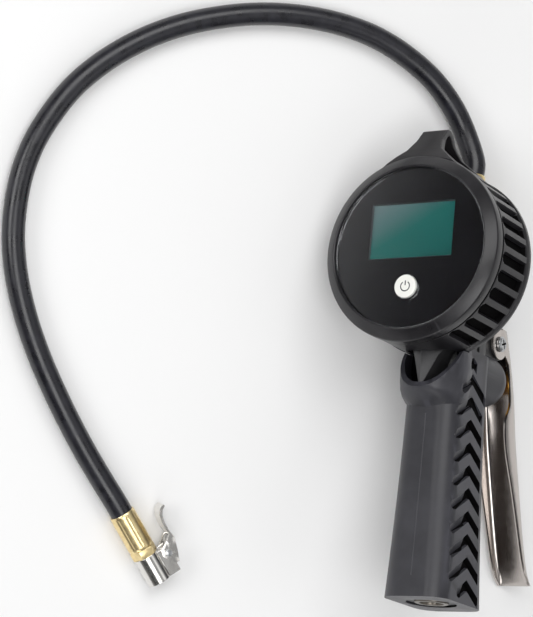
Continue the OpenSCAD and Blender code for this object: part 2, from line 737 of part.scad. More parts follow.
// Points round the outside (t = 0) or the inside (t = lever_t) of the channel at one station
function channel_points(s, t) =
    let (w = lever_w / 2 - t,
         back = s[2] - t,
         front = min(s[1], s[2] - lever_t - 0.3),
         r = min(lever_corner, (s[2] - s[1]) * 0.8) - t * 0.6)
    concat(
        [[w, front, s[0]]],
        [for (i = [0:4]) [w - r + r * cos(22.5 * i), back - r + r * sin(22.5 * i), s[0]]],
        [for (i = [0:4]) [-w + r - r * sin(22.5 * i), back - r + r * cos(22.5 * i), s[0]]],
        [[-w, front, s[0]]]);

// Skin over an open channel: outer and inner rows of points at each station
module channel_loft(stations) {
    n = len(stations);
    rows = [for (i = [n - 1:-1:0])
        concat(channel_points(stations[i], 0), channel_points(stations[i], lever_t))];
    h = len(rows[0]) / 2;
    m = 2 * h;
    // walking round the section: outer points forward, then inner points backward
    order = concat([for (i = [0:h - 1]) i], [for (i = [h - 1:-1:0]) h + i]);
    ends = [for (i = [0:h - 2]) [i, i + 1, h + i + 1, h + i]];
    points = [for (row = rows) each row];
    faces = concat(
        [for (q = ends) each [[q[0], q[1], q[2]], [q[0], q[2], q[3]]]],
        [for (q = ends) each [[for (i = [2, 1, 0]) (n - 1) * m + q[i]],
            [for (i = [3, 2, 0]) (n - 1) * m + q[i]]]],
        [for (k = [0:n - 2], i = [0:m - 1])
            let (a = k * m + order[i], b = k * m + order[(i + 1) % m])
            each [[a, a + m, b + m], [a, b + m, b]]]);
    polyhedron(points, faces, convexity = 8);
}

module trigger_lever() {
    ear_in = lever_w / 2 - lever_t;
    color([0.86, 0.86, 0.87]) lay() difference() {
        union() {
            channel_loft(smooth_route(lever_stations, 2));
            rod_x(ear_r, ear_in, lever_w / 2, pivot_y, pivot_z);
            rod_x(ear_r, -lever_w / 2, -ear_in, pivot_y, pivot_z);
        }
        rod_x(pivot_d / 2 + run, -lever_w, lever_w, pivot_y, pivot_z);
    }
}

module pivot_screw() {
    face = lever_w / 2 + 0.15;
    color("silver") lay() difference() {
        union() {
            rod_x(pivot_d / 2, -face - nut_t - 0.6, face + 0.1, pivot_y, pivot_z);
            rod_x(screw_head_r, face, face + 1.2, pivot_y, pivot_z);
            translate([face + 1.2, pivot_y, pivot_z]) rotate([0, 90, 0])
                cylinder(r1 = screw_head_r, r2 = screw_head_r - 0.9, h = 0.8);
        }
        for (q = [0, 90]) translate([face + 1, pivot_y, pivot_z]) rotate([q + 20, 0, 0])
            translate([0, -2.3, -0.45]) cube([3, 4.6, 0.9]);
    }
}

module pivot_nut() {
    face = lever_w / 2 + 0.15;
    color("silver") lay() difference() {
        translate([-face - nut_t, pivot_y, pivot_z]) rotate([0, 90, 0])
            cylinder(r = nut_r, h = nut_t, $fn = 6);
        rod_x(pivot_d / 2 + run, -lever_w, 0, pivot_y, pivot_z);
    }
}

// ---------- hose and its ferrules ----------
module hose_fitting() {
    color([0.85, 0.68, 0.33]) lay() translate([0, outlet_y, 0]) difference() {
        union() {
            translate([0, 0, column_top - fitting_stem_len]) cylinder(r = fitting_stem_r, h = fitting_stem_len + 1);
            translate([0, 0, column_top]) cylinder(r = fitting_hex_r, h = fitting_hex_t, $fn = 6);
            translate([0, 0, column_top + fitting_hex_t - 0.1]) cylinder(r = barb_r, h = ferrule_len - 2);
        }
        translate([0, 0, column_top - fitting_stem_len - 1])
            cylinder(r = barb_r - 1, h = fitting_stem_len + fitting_hex_t + ferrule_len + 2);
    }
}

// Crimped ferrule standing on z = 0, with flutes pressed round it
module ferrule() {
    difference() {
        cylinder(d = ferrule_d, h = ferrule_len);
        for (a = [0:45:315]) rotate([0, 0, a]) translate([ferrule_d / 2 + 1.5, 0, 2])
            cylinder(r = 2, h = ferrule_len - 4);
        translate([0, 0, -1]) cylinder(r = barb_r + run, h = ferrule_len + 2);
    }
}

module upper_ferrule() {
    color([0.85, 0.68, 0.33]) lay()
        translate([0, outlet_y, column_top + fitting_hex_t + slip]) ferrule();
}

module hose() {
    color([0.15, 0.15, 0.17]) hose_tube(hose_route);
}

module at_chuck() {
    translate([chuck_at[0], chuck_at[1], chuck_rest_z]) rotate([0, 0, chuck_turn]) children();
}

module lower_ferrule() {
    color([0.85, 0.68, 0.33]) at_chuck() rotate([0, 90, 0]) rotate([0, 0, 22.5]) ferrule();
}

// ---------- chuck, with x running out of its mouth ----------
module rod_c(r, x0, x1) {
    translate([x0, 0, 0]) rotate([0, 90, 0]) cylinder(r = r, h = x1 - x0);
}

module chuck_nipple() {
    color([0.85, 0.68, 0.33]) at_chuck() difference() {
        union() {
            rod_c(barb_r, 2, ferrule_len + slip);
            translate([ferrule_len + slip, 0, 0]) rotate([0, 90, 0]) rotate(30)
                cylinder(r = nipple_hex_r, h = nipple_hex_t, $fn = 6);
            rod_c(nipple_stem_r, ferrule_len + nipple_hex_t, chuck_x + nipple_stem_len);
            rod_c(0.9, ferrule_len, chuck_x + nipple_stem_len + seal_t);
        }
        for (s = [-1, 1]) translate([1, s * 1.6, 0]) rotate([0, 90, 0])
            cylinder(r = 0.6, h = ferrule_len + 12);
    }
}

module chuck_body() {
    color([0.86, 0.86, 0.87]) at_chuck() difference() {
        union() {
            rod_c(chuck_d / 2, chuck_x, chuck_x + chuck_len);
            translate([chuck_x + 1, 0, -lug_half_t]) cube([chuck_len - 1, lug_top, 2 * lug_half_t]);
        }
        rod_c(nipple_stem_r + slip, chuck_x - 1, chuck_x + nipple_stem_len);
        rod_c(seal_r, chuck_x + nipple_stem_len - 0.5, chuck_x + nipple_stem_len + seal_t + 0.1);
        rod_c(chuck_bore_d / 2, chuck_x + nipple_stem_len + seal_t, chuck_x + chuck_len + 1);
        // slot for the claw and its spring
        translate([chuck_x + 1.7, 2.5, -slot_half_w]) cube([chuck_len - 4, 20, 2 * slot_half_w]);
        translate([clip_x, clip_y, -20]) cylinder(r = clip_pin_r + run, h = 40);
    }
}

module chuck_seal() {
    x = chuck_x + nipple_stem_len;
    color([0.1, 0.1, 0.1]) at_chuck() difference() {
        rod_c(seal_r - run, x, x + seal_t);
        rod_c(1.4, x - 1, x + seal_t + 1);
    }
}

module chuck_clip() {
    cheek_in = lug_half_t + 0.2;
    cheek_out = cheek_in + clip_t;
    top = lug_top + 0.3;
    color([0.86, 0.86, 0.87]) at_chuck() difference() {
        union() {
            for (z = [cheek_in, -cheek_out]) translate([clip_x, clip_y, z]) linear_extrude(clip_t)
                polygon([[-7.4, 5.8], [-5.1, 6.3], [2, 4.2], [6.2, 2.6], [6, 1], [0.8, -2.8],
                    [-3, -2.2], [-5.4, 1.7], [-7.5, 4.5]]);
            // thumb piece
            translate([clip_x, clip_y, -cheek_out]) linear_extrude(2 * cheek_out)
                polygon([[-6.2, 6], [-6.4, 4.8], [-9.8, 4.3], [-14, 4.3], [-18, 5], [-20.4, 6.8],
                    [-21.6, 9], [-20.5, 9.5], [-19.2, 7.5], [-17.2, 6.2], [-13.8, 5.5], [-9.8, 5.5]]);
            // bar across the cheeks, and the claw that reaches into the bore
            translate([clip_x + 3.4, top, -cheek_out]) cube([2.6, 1.2, 2 * cheek_out]);
            translate([clip_x + 4.2, chuck_bore_d / 2 + run, -slot_half_w + gap])
                cube([1.4, top + 1 - chuck_bore_d / 2, 2 * (slot_half_w - gap)]);
        }
        translate([clip_x, clip_y, -20]) cylinder(r = clip_pin_r + run, h = 40);
    }
}

module clip_pin() {
    half = lug_half_t + 0.2 + clip_t;
    color("silver") at_chuck() translate([clip_x, clip_y, 0]) {
        translate([0, 0, -half - 0.3]) cylinder(r = clip_pin_r, h = 2 * half + 0.6);
        for (z = [half + 0.15, -half - 0.75]) translate([0, 0, z])
            cylinder(r = clip_pin_r + 0.5, h = 0.6);
    }
}

module clip_spring() {
    color("silver") at_chuck() translate([clip_x, clip_y, 0]) {
        for (z = [-0.8, 0, 0.8]) translate([0, 0, z]) rotate_extrude($fn = 32)
            translate([clip_pin_r + 0.5, 0]) circle(r = 0.41, $fn = 16);
        translate([-clip_pin_r - 0.4, -4.6, -0.8]) rotate([-90, 0, 0]) cylinder(r = 0.35, h = 5, $fn = 16);
    }
}

core_body();
grip_tube();
grip_sleeve();
gauge_boot();
hanging_loop();
gauge_case();
case_back();
case_screws();
battery_door();
coin_cell();
circuit_board();
display_module();
button_switch();
dial_plate();
lens();
power_button();
pressure_sensor();
inlet_bushing();
valve_gland();
valve_seat();
valve_stem();
valve_spring();
trigger_lever();
pivot_screw();
pivot_nut();
hose_fitting();
upper_ferrule();
hose();
lower_ferrule();
chuck_nipple();
chuck_body();
chuck_seal();
chuck_clip();
clip_pin();
clip_spring();
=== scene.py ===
"""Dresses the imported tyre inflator: finishes, softened rubber, the hose, floor, lights and camera.

Sizes are in millimetres in the classes and in metres in Blender. The tool's own frame has X to the
user's right, Y away from the gauge's face and Z up the grip, as in the part's source.
"""

from __future__ import annotations

import logging  # noqa: E402
import math  # noqa: E402
from dataclasses import dataclass  # noqa: E402
from enum import Enum  # noqa: E402
from functools import partial  # noqa: E402
from typing import Any, Callable, Sequence  # noqa: E402

import bmesh  # noqa: E402
import bpy  # noqa: E402
from mathutils import Matrix, Vector  # noqa: E402


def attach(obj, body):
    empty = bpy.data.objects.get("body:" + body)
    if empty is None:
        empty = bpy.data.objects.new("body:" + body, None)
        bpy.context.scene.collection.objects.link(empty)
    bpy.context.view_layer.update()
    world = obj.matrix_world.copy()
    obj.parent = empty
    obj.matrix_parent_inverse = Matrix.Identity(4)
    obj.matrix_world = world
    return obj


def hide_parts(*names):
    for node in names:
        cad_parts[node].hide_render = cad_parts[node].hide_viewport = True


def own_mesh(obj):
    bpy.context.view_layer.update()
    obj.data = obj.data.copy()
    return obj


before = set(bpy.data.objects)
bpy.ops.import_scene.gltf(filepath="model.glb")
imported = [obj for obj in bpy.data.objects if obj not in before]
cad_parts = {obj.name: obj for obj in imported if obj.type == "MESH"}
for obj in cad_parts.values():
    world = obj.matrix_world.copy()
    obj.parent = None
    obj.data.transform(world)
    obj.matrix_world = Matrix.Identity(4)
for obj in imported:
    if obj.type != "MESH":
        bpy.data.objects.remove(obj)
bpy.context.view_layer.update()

LOG = logging.getLogger("inflator")
MM = 0.001

Point = tuple[float, float, float]
Pair = tuple[float, float]
Inputs = dict[str, Any] | Sequence[Any]
Adder = Callable[..., bpy.types.Node]


# ---------- places ----------
@dataclass(frozen=True)
class Lie:
    """How a local frame in millimetres lies in the model, which is in metres."""

    x: Point
    y: Point
    z: Point
    shift: Point

    def matrix(self) -> Matrix:
        """Returns the matrix from local millimetres to model metres."""
        rows = [[self.x[i] * MM, self.y[i] * MM, self.z[i] * MM, self.shift[i] * MM] for i in range(3)]
        return Matrix(rows + [[0, 0, 0, 1]])

    def back(self) -> Matrix:
        """Returns the matrix from model metres to local millimetres."""
        return self.matrix().inverted()

    def at(self, x: float, y: float, z: float) -> Vector:
        """Returns a point, given in local millimetres, in the model's metres."""
        return self.matrix() @ Vector((x, y, z))

    def stand(self, place: Point, turn: float = 0.0, axis: str = "X") -> Matrix:
        """Returns the matrix of a frame at a local place, turned by degrees about one axis."""
        return self.matrix() @ Matrix.Translation(place) @ Matrix.Rotation(math.radians(turn), 4, axis)


# columns of the turn that lays the tool on the table
TOOL = Lie(
    x=(0.628411, 0.180081, 0.75675),
    y=(0.777881, -0.145479, -0.61134),
    z=(0.0, 0.972834, -0.231502),
    shift=(-3.9, 47.1, 28.2755),
)
CHUCK_TURN = math.radians(-50)
CHUCK = Lie(
    x=(math.cos(CHUCK_TURN), math.sin(CHUCK_TURN), 0.0),
    y=(-math.sin(CHUCK_TURN), math.cos(CHUCK_TURN), 0.0),
    z=(0.0, 0.0, 1.0),
    shift=(-143.0, -92.0, 6.2),
)
# the lens's outer face, in the tool's frame
FACE_Y = -50.0


# ---------- nodes ----------
# the kinds that are used most; RANGE takes a value, where it starts and ends, and what that becomes
MATH = "ShaderNodeMath"
RANGE = "ShaderNodeMapRange"
NOISE = "ShaderNodeTexNoise"
BUMP = "ShaderNodeBump"
MIX = "ShaderNodeMix"
SPLIT = "ShaderNodeSeparateXYZ"
COMBINE = "ShaderNodeCombineXYZ"
SHADER = "ShaderNodeBsdfPrincipled"
SET_PLACE = "GeometryNodeSetPosition"


def srgb(code: str) -> tuple[float, float, float, float]:
    """Turns an sRGB hex colour to linear.

    Args:
        code: Six hex digits after a #.

    Returns:
        Linear red, green, blue and an alpha of 1.
    """
    parts = [int(code[i : i + 2], 16) / 255 for i in (1, 3, 5)]
    linear = [c / 12.92 if c <= 0.04045 else ((c + 0.055) / 1.055) ** 2.4 for c in parts]
    return (linear[0], linear[1], linear[2], 1.0)


def feed(node: bpy.types.Node, inputs: Inputs) -> None:
    """Sets a node's inputs or links them.

    Args:
        node: The node.
        inputs: Values, sockets, nodes or a list to link, by the input's name or in the inputs' order.
    """
    for key, value in inputs.items() if isinstance(inputs, dict) else enumerate(inputs):
        names = [socket.name if socket.enabled else None for socket in node.inputs]
        place = node.inputs[names.index(key) if isinstance(key, str) else key]
        for source in value if isinstance(value, list) else [value]:
            if isinstance(source, bpy.types.Node):
                source = next(socket for socket in source.outputs if socket.enabled)
            if isinstance(source, bpy.types.NodeSocket):
                node.id_data.links.new(source, place)
            else:
                place.default_value = source


def add_node(tree: bpy.types.NodeTree, kind: str, inputs: Inputs = (), **settings: Any) -> bpy.types.Node:
    """Adds a node with its settings, its values and the links into it.

    Args:
        tree: The tree that gets the node.
        kind: The node's type name.
        inputs: What its inputs get, as feed takes it.
        settings: The node's own properties.

    Returns:
        The new node.
    """
    node = tree.nodes.new(kind)
    for name, value in settings.items():
        setattr(node, name, value)
    feed(node, inputs)
    return node


# ---------- finishes ----------
@dataclass(frozen=True)
class Finish:
    """A surface as it leaves its process, with one colour and one gloss."""

    name: str
    colour: str
    roughness: float
    metallic: float = 0.0
    lie: Lie = TOOL

    def build(self) -> bpy.types.Material:
        """Returns the material, made once."""
        made = bpy.data.materials.get(self.name)
        if made:
            return made
        made = bpy.data.materials.new(self.name)
        made.use_nodes = True
        made.node_tree.nodes.clear()
        add = partial(add_node, made.node_tree)
        plain = {"Base Color": srgb(self.colour), "Roughness": self.roughness, "Metallic": self.metallic}
        shader = add(SHADER, plain)
        add("ShaderNodeOutputMaterial", {"Surface": shader})
        feed(shader, self.pattern(add))
        return made

    def coordinates(self, add: Adder) -> bpy.types.Node:
        """Turns object coordinates to the local frame, in millimetres.

        Args:
            add: Adds a node to the material's tree.

        Returns:
            The node that puts out the vector.
        """
        back = self.lie.back()
        values = {
            "Vector": add("ShaderNodeTexCoord").outputs["Object"],
            "Location": back.to_translation(),
            "Rotation": back.to_3x3().normalized().to_euler(),
            "Scale": (1 / MM,) * 3,
        }
        return add("ShaderNodeMapping", values)

    @staticmethod
    def uneven(add: Adder, noise: dict[str, Any], relief: float) -> bpy.types.Node:
        """Returns a bump of irregular waves: what a noise's inputs get, and the waves' height in mm."""
        return add(BUMP, {"Height": add(NOISE, noise), "Distance": relief * MM, "Strength": 1.0})

    def pattern(self, add: Adder) -> dict[str, Any]:
        """Adds the pattern of the finish, and returns what it gives to the shader's inputs."""
        return {}


@dataclass(frozen=True)
class MouldedPolymer(Finish):
    """Rubber or plastic out of an eroded mould: a fine grain, a faint bloom, and edges in a second tone,
    partly rubbed wear and partly painted highlight.
    """

    # tone of the bloom and of sharp edges; on the edges it is partly rubbed wear and partly a painted
    # highlight
    wear_and_highlight: str = "#55555a"
    grain: float = 0.45
    relief: float = 0.02
    bloom: float = 14.0
    spread: float = 0.12
    specular: float = 0.5
    # shares of the noise or of the edge's sharpness between which each effect grows, and its most
    bloom_grows: Pair = (0.35, 0.7)
    bloom_most: float = 0.28
    edge_grows: Pair = (0.52, 0.6)
    edge_most: float = 0.5
    gloss_grows: Pair = (0.3, 0.7)

    def pattern(self, add: Adder) -> dict[str, Any]:
        """Adds grain in the bump, bloom in the colour and gloss, and edges in the second tone, partly wear
        and partly painted highlight.

        Args:
            add: Adds a node to the material's tree.

        Returns:
            What the pattern gives to the shader's inputs.
        """
        where = self.coordinates(add)
        bloom = add(NOISE, {"Vector": where, "Scale": 1 / self.bloom, "Detail": 4.0, "Roughness": 0.55})
        spot = add(RANGE, (bloom, *self.bloom_grows, 0.0, self.bloom_most))
        # sharp edges take that tone: partly rubbed wear, partly a painted highlight
        sharpness = add("ShaderNodeNewGeometry").outputs["Pointiness"]
        edge_tone_share = add(RANGE, (sharpness, *self.edge_grows, 0.0, self.edge_most))
        both = add(MATH, (spot, edge_tone_share), operation="ADD")
        tones = {"Factor": both, "A": srgb(self.colour), "B": srgb(self.wear_and_highlight)}
        gloss = (self.roughness - self.spread / 2, self.roughness + self.spread / 2)
        given = {
            "Specular IOR Level": self.specular,
            "Base Color": add(MIX, tones, data_type="RGBA"),
            "Roughness": add(RANGE, (bloom, *self.gloss_grows, *gloss)),
        }
        if self.relief:
            # the grit of the mould is finer; it is drawn this coarse so that it shows
            grain = {"Vector": where, "Scale": 1 / self.grain, "Detail": 3.0, "Roughness": 0.6}
            given["Normal"] = self.uneven(add, grain, self.relief)
        return given


@dataclass(frozen=True)
class PlatedSteel(Finish):
    """Bright plate over pressed or cast steel: mirror gloss over slow waves, with faint polishing haze."""

    wave: float = 9.0
    relief: float = 0.03
    haze: float = 0.05
    haze_per_mm: float = 0.35
    haze_grows: Pair = (0.4, 0.75)

    def pattern(self, add: Adder) -> dict[str, Any]:
        """Adds slow waves in the bump and haze in the gloss.

        Args:
            add: Adds a node to the material's tree.

        Returns:
            What the pattern gives to the shader's inputs.
        """
        where = self.coordinates(add)
        haze = add(NOISE, {"Vector": where, "Scale": self.haze_per_mm, "Detail": 5.0})
        return {
            "Normal": self.uneven(add, {"Vector": where, "Scale": 1 / self.wave, "Detail": 1.0}, self.relief),
            "Roughness": add(RANGE, (haze, *self.haze_grows, self.roughness, self.roughness + self.haze)),
        }


@dataclass(frozen=True)
class TurnedBrass(Finish):
    """Bar brass off the lathe: fine rings round the axis and a little tarnish in scattered spots."""

    tarnish: str = "#7a4f1d"
    across: str = "Z"
    pitch: float = 0.5
    ring_relief: float = 0.006
    spots_per_mm: float = 0.3
    tarnish_grows: Pair = (0.45, 0.8)
    tarnish_most: float = 0.35

    def pattern(self, add: Adder) -> dict[str, Any]:
        """Adds lathe rings in the bump and tarnish in the colour.

        Args:
            add: Adds a node to the material's tree.

        Returns:
            What the pattern gives to the shader's inputs.
        """
        where = self.coordinates(add)
        # rings of a finishing cut are about 0.1 mm apart; they are drawn wider so that they show,
        # and the texture's bands repeat 20 times in 2 pi
        bands = {"Vector": where, "Scale": 0.314 / self.pitch, "Distortion": 0.6, "Detail": 2.0}
        rings = add("ShaderNodeTexWave", bands, wave_type="BANDS", bands_direction=self.across)
        spots = add(NOISE, {"Vector": where, "Scale": self.spots_per_mm, "Detail": 4.0})
        amount = add(RANGE, (spots, *self.tarnish_grows, 0.0, self.tarnish_most))
        tones = {"Factor": amount, "A": srgb(self.colour), "B": srgb(self.tarnish)}
        height = {"Height": rings.outputs["Fac"], "Distance": self.ring_relief * MM, "Strength": 1.0}
        return {"Normal": add(BUMP, height), "Base Color": add(MIX, tones, data_type="RGBA")}


@dataclass(frozen=True)
class DisplayGlass(Finish):
    """Blank reflective display: teal polariser over a mirror, with a painted reflection that pales it towards
    one corner.
    """

    # ends of the slope of colour, a painted reflection: pale at one corner, deep at the other
    pale: str = "#7e9a9b"
    deep: str = "#0a766f"
    middle: float = 0.55
    lean: float = -0.55
    slope: Pair = (-14.0, 30.0)

    def pattern(self, add: Adder) -> dict[str, Any]:
        """Adds a slow slope of colour across the glass, a painted reflection, under a thin gloss.

        Args:
            add: Adds a node to the material's tree.

        Returns:
            What the pattern gives to the shader's inputs.
        """
        split = add(SPLIT, {"Vector": self.coordinates(add)})
        across, up = split.outputs["X"], split.outputs["Z"]
        lean = add(MATH, (across, self.lean, up), operation="MULTIPLY_ADD")
        stops = add("ShaderNodeValToRGB", {"Fac": add(RANGE, (lean, *self.slope))})
        marks = stops.color_ramp.elements
        marks.new(1.0)
        for mark, place, code in zip(marks, (0.0, self.middle, 1.0), (self.deep, self.colour, self.pale)):
            mark.position = place
            mark.color = srgb(code)
        return {"Base Color": stops, "Coat Weight": 0.3, "Coat Roughness": 0.03}


@dataclass(frozen=True)
class ClearAcrylic(Finish):
    """Moulded clear acrylic: seen through, with a gloss on its face."""

    swirls_per_mm: float = 0.06
    relief: float = 0.01

    def pattern(self, add: Adder) -> dict[str, Any]:
        """Returns the clearness and the faint swirl that moulding leaves, for the shader's inputs."""
        swirl = {"Vector": self.coordinates(add), "Scale": self.swirls_per_mm, "Detail": 2.0}
        return {"Transmission Weight": 1.0, "IOR": 1.49, "Normal": self.uneven(add, swirl, self.relief)}


@dataclass(frozen=True)
class BoardLaminate(Finish):
    """Green solder mask over copper tracks."""

    copper: str = "#2f6b3c"
    tracks_per_mm: float = 0.5
    track_edge: Pair = (0.5, 0.6)

    def pattern(self, add: Adder) -> dict[str, Any]:
        """Adds tracks as a coarse maze under the mask.

        Args:
            add: Adds a node to the material's tree.

        Returns:
            What the pattern gives to the shader's inputs.
        """
        cells = {"Vector": self.coordinates(add), "Scale": self.tracks_per_mm}
        maze = add("ShaderNodeTexVoronoi", cells, distance="MANHATTAN", feature="F1")
        track = add(RANGE, (maze, *self.track_edge))
        tones = {"Factor": track, "A": srgb(self.colour), "B": srgb(self.copper)}
        return {"Base Color": add(MIX, tones, data_type="RGBA")}


# EPDM boot, compression moulded: near black with a soft sheen that catches side light
BOOT_RUBBER = MouldedPolymer("MouldedEPDMRubber", "#18171a", 0.33, wear_and_highlight="#38373b", grain=0.55, relief=0.016)
# its hanging loop, flexed and handled: a little paler and drier
LOOP_RUBBER = MouldedPolymer("MouldedEPDMLoop", "#1b191b", 0.36, wear_and_highlight="#38373b", grain=0.5, relief=0.01)
# TPE overmould on the grip: satin; the slight blue in its colour is a painted reflection
GRIP_RUBBER = MouldedPolymer("MouldedTPEGrip", "#27272c", 0.42, wear_and_highlight="#4a4a51", grain=0.4, relief=0.01)
# floors and walls of pockets and grooves: near black and dull, painted shade
PAINTED_SHADE_RUBBER = MouldedPolymer(
    "PaintedShadeRubber", "#080708", 0.9, wear_and_highlight="#100f10", relief=0.0, specular=0.08
)
# glass-filled nylon of the body: drier and greyer
BODY_NYLON = MouldedPolymer("MouldedGlassFilledNylon", "#1f1f20", 0.42, wear_and_highlight="#4a4a4d", grain=0.6)
# ABS of the gauge case out of a spark-eroded mould: even and dull
CASE_ABS = MouldedPolymer("MouldedABSCase", "#19191b", 0.45, wear_and_highlight="#333336", grain=0.5)
# dial plate, polished polycarbonate: deep black and glossy, tinted blue as a painted reflection
DIAL_BLACK = MouldedPolymer(
    "PolishedBlackPolycarbonate", "#0b0c11", 0.18, wear_and_highlight="#12131a", relief=0.0, spread=0.04
)
# push button, polished ABS: warm white with a small highlight
BUTTON_WHITE = MouldedPolymer(
    "PolishedWhiteABS", "#f1f1ec", 0.25, wear_and_highlight="#e4e4dc", relief=0.002, spread=0.06
)
# pad-printed ink of the button's sign: flat dark grey
MARK_INK = MouldedPolymer("PadPrintedInk", "#26262b", 0.4, wear_and_highlight="#303036", relief=0.0)
# extruded EPDM cover of the hose: near black with a long sheen; the blue in its colours is a painted
# reflection
HOSE_RUBBER = MouldedPolymer(
    "ExtrudedEPDMHose",
    "#15151a",
    0.3,
    wear_and_highlight="#2e2e3a",
    grain=0.7,
    relief=0.01,
    bloom=6.0,
    spread=0.14,
    specular=0.62,
)
# moulded nitrile of the chuck's seal: black and matt
SEAL_RUBBER = MouldedPolymer("MouldedNitrileSeal", "#141414", 0.6)
# decorative chrome on the pressed lever: warm mirror over slow waves
LEVER_CHROME = PlatedSteel("ChromePlatedSteel", "#c4bdb8", 0.18, 1.0)
# chrome on the die-cast chuck: brighter and flatter
CHUCK_CHROME = PlatedSteel("ChromePlatedZinc", "#e4e2de", 0.16, 1.0, CHUCK, wave=8.0, relief=0.0015)
# zinc on screws and nuts: soft grey gloss with haze
ZINC_STEEL = PlatedSteel("ZincPlatedSteel", "#b9bbbd", 0.24, 1.0, wave=2.0, haze=0.1)
# cross recess of the pivot screw: dark, painted shade
SCREW_RECESS_SHADE = PlatedSteel("ScrewRecessPaintedShade", "#2c2a29", 0.5, 1.0, wave=1.0, haze=0.1)
# nickel on the inlet's brass, grey-brown: darkened as painted shade inside the foot
INLET_SHADED_NICKEL = PlatedSteel("NickelPlatedBrassShaded", "#6b665f", 0.3, 1.0, wave=2.0, haze=0.1)
# drawn wire of the springs: plain grey gloss
SPRING_WIRE = PlatedSteel("DrawnSpringWire", "#9a9a9c", 0.3, 1.0, wave=1.0)
# nickel on the coin cell: pale, with handling haze
CELL_STEEL = PlatedSteel("NickelPlatedCell", "#c6c6c4", 0.25, 1.0, wave=1.5, haze=0.12)
# bar brass turned bright: pale gold with a ring gloss, on the tool and on the chuck
TOOL_BRASS = TurnedBrass("TurnedBrass", "#f8e2ac", 0.3, 1.0)
CHUCK_BRASS = TurnedBrass("TurnedChuckBrass", "#f8e2ac", 0.3, 1.0, CHUCK, across="X")
# brass of the valve: a darker gold
VALVE_BRASS = TurnedBrass("TurnedValveBrass", "#cfa050", 0.26, 1.0, across="Y")
# polariser film of the display: teal, paled towards a corner by a painted reflection
DISPLAY = DisplayGlass("DisplayPolariser", "#0f8179", 0.3)
# moulded acrylic of the lens: clear
LENS_CLEAR = ClearAcrylic("MouldedClearAcrylic", "#f4f6f8", 0.02)
# solder mask of the circuit board: dark green gloss
BOARD = BoardLaminate("BoardSolderMask", "#0e3d22", 0.35)
# paint on the window's edge: a grey line
BEZEL = Finish("PaintedWindowEdge", "#565d5e", 0.3)


# ---------- making and placing pieces ----------
# a mesh's face attribute, 1 on the faces that take the piece's second finish, its painted shade
SHADE_ATTRIBUTE = "hollow"
# edges flatter than this aren't broken, in degrees
FLAT = 38.0
# points nearer than this are one, in metres: in a CAD mesh and in a recipe's
CAD_WELD = 2e-6
RECIPE_WELD = 1e-6


class Body(Enum):
    """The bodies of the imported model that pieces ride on."""

    TOOL = "tool"
    BUTTON = "button"
    TRIGGER = "trigger"
    CLIP = "clip"


def placed(name: str, data: bpy.types.ID) -> bpy.types.Object:
    """Puts data into the scene as a new object.

    Args:
        name: The object's name.
        data: Its mesh, curve, light or camera.

    Returns:
        The new object.
    """
    thing = bpy.data.objects.new(name, data)
    bpy.context.scene.collection.objects.link(thing)
    return thing


def finished(
    mesh: bpy.types.Mesh,
    name: str,
    finish: Finish,
    replaces: str = "",
    body: Body = Body.TOOL,
    angle: float = 40.0,
    shade_finish: Finish | None = None,
) -> bpy.types.Object:
    """Puts a mesh, already in its place, into the scene as a piece of a body.

    Args:
        mesh: The mesh, in metres.
        name: The piece's name.
        finish: Its finish.
        replaces: The CAD node that it stands for, if any.
        body: The body that it moves with.
        angle: Edges sharper than this stay sharp, in degrees.
        shade_finish: Finish of the faces that the mesh's SHADE_ATTRIBUTE attribute marks: the painted shade.

    Returns:
        The new object.
    """
    mesh.name = name
    mesh.materials.clear()
    mesh.materials.append(finish.build())
    mesh.shade_smooth()
    if shade_finish:
        mesh.materials.append(shade_finish.build())
        marks = mesh.attributes[SHADE_ATTRIBUTE].data
        for face in mesh.polygons:
            face.material_index = int(marks[face.index].value > 0.5)
    mesh.set_sharp_from_angle(angle=math.radians(angle))
    piece = placed(name, mesh)
    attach(piece, body.value)
    if replaces:
        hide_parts(replaces)
    LOG.info("%s: %d faces, %s", name, len(mesh.polygons), finish.name)
    return piece


def baked(work: bpy.types.Object) -> bpy.types.Mesh:
    """Applies a work object's modifiers.

    Args:
        work: The object, which is deleted.

    Returns:
        The resulting mesh.
    """
    bpy.context.view_layer.update()
    graph = bpy.context.evaluated_depsgraph_get()
    mesh = bpy.data.meshes.new_from_object(work.evaluated_get(graph))
    work.modifiers.clear()
    bpy.data.objects.remove(work)
    return mesh


def copy_of(node: str) -> bpy.types.Object:
    """Copies a CAD node's mesh to a work object, with its doubles merged.

    Args:
        node: The node's name.

    Returns:
        The work object.
    """
    shell = bmesh.new()
    shell.from_mesh(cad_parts[node].data)
    bmesh.ops.remove_doubles(shell, verts=shell.verts, dist=CAD_WELD)
    mesh = bpy.data.meshes.new("work_" + node)
    shell.to_mesh(mesh)
    shell.free()
    return placed("work_" + node, mesh)


def softened(node: str, voxel: float, rounds: int) -> bpy.types.Mesh:
    """Gives a moulded rubber piece its rounded edges.

    Args:
        node: The CAD node.
        voxel: Size of the new faces in millimetres.
        rounds: How often the surface is relaxed.

    Returns:
        The new mesh.
    """
    work = copy_of(node)
    skin = work.modifiers.new("skin", "REMESH")
    skin.mode = "VOXEL"
    skin.voxel_size = voxel * MM
    relax = work.modifiers.new("relax", "SMOOTH")
    relax.factor = 0.5
    relax.iterations = rounds
    return baked(work)


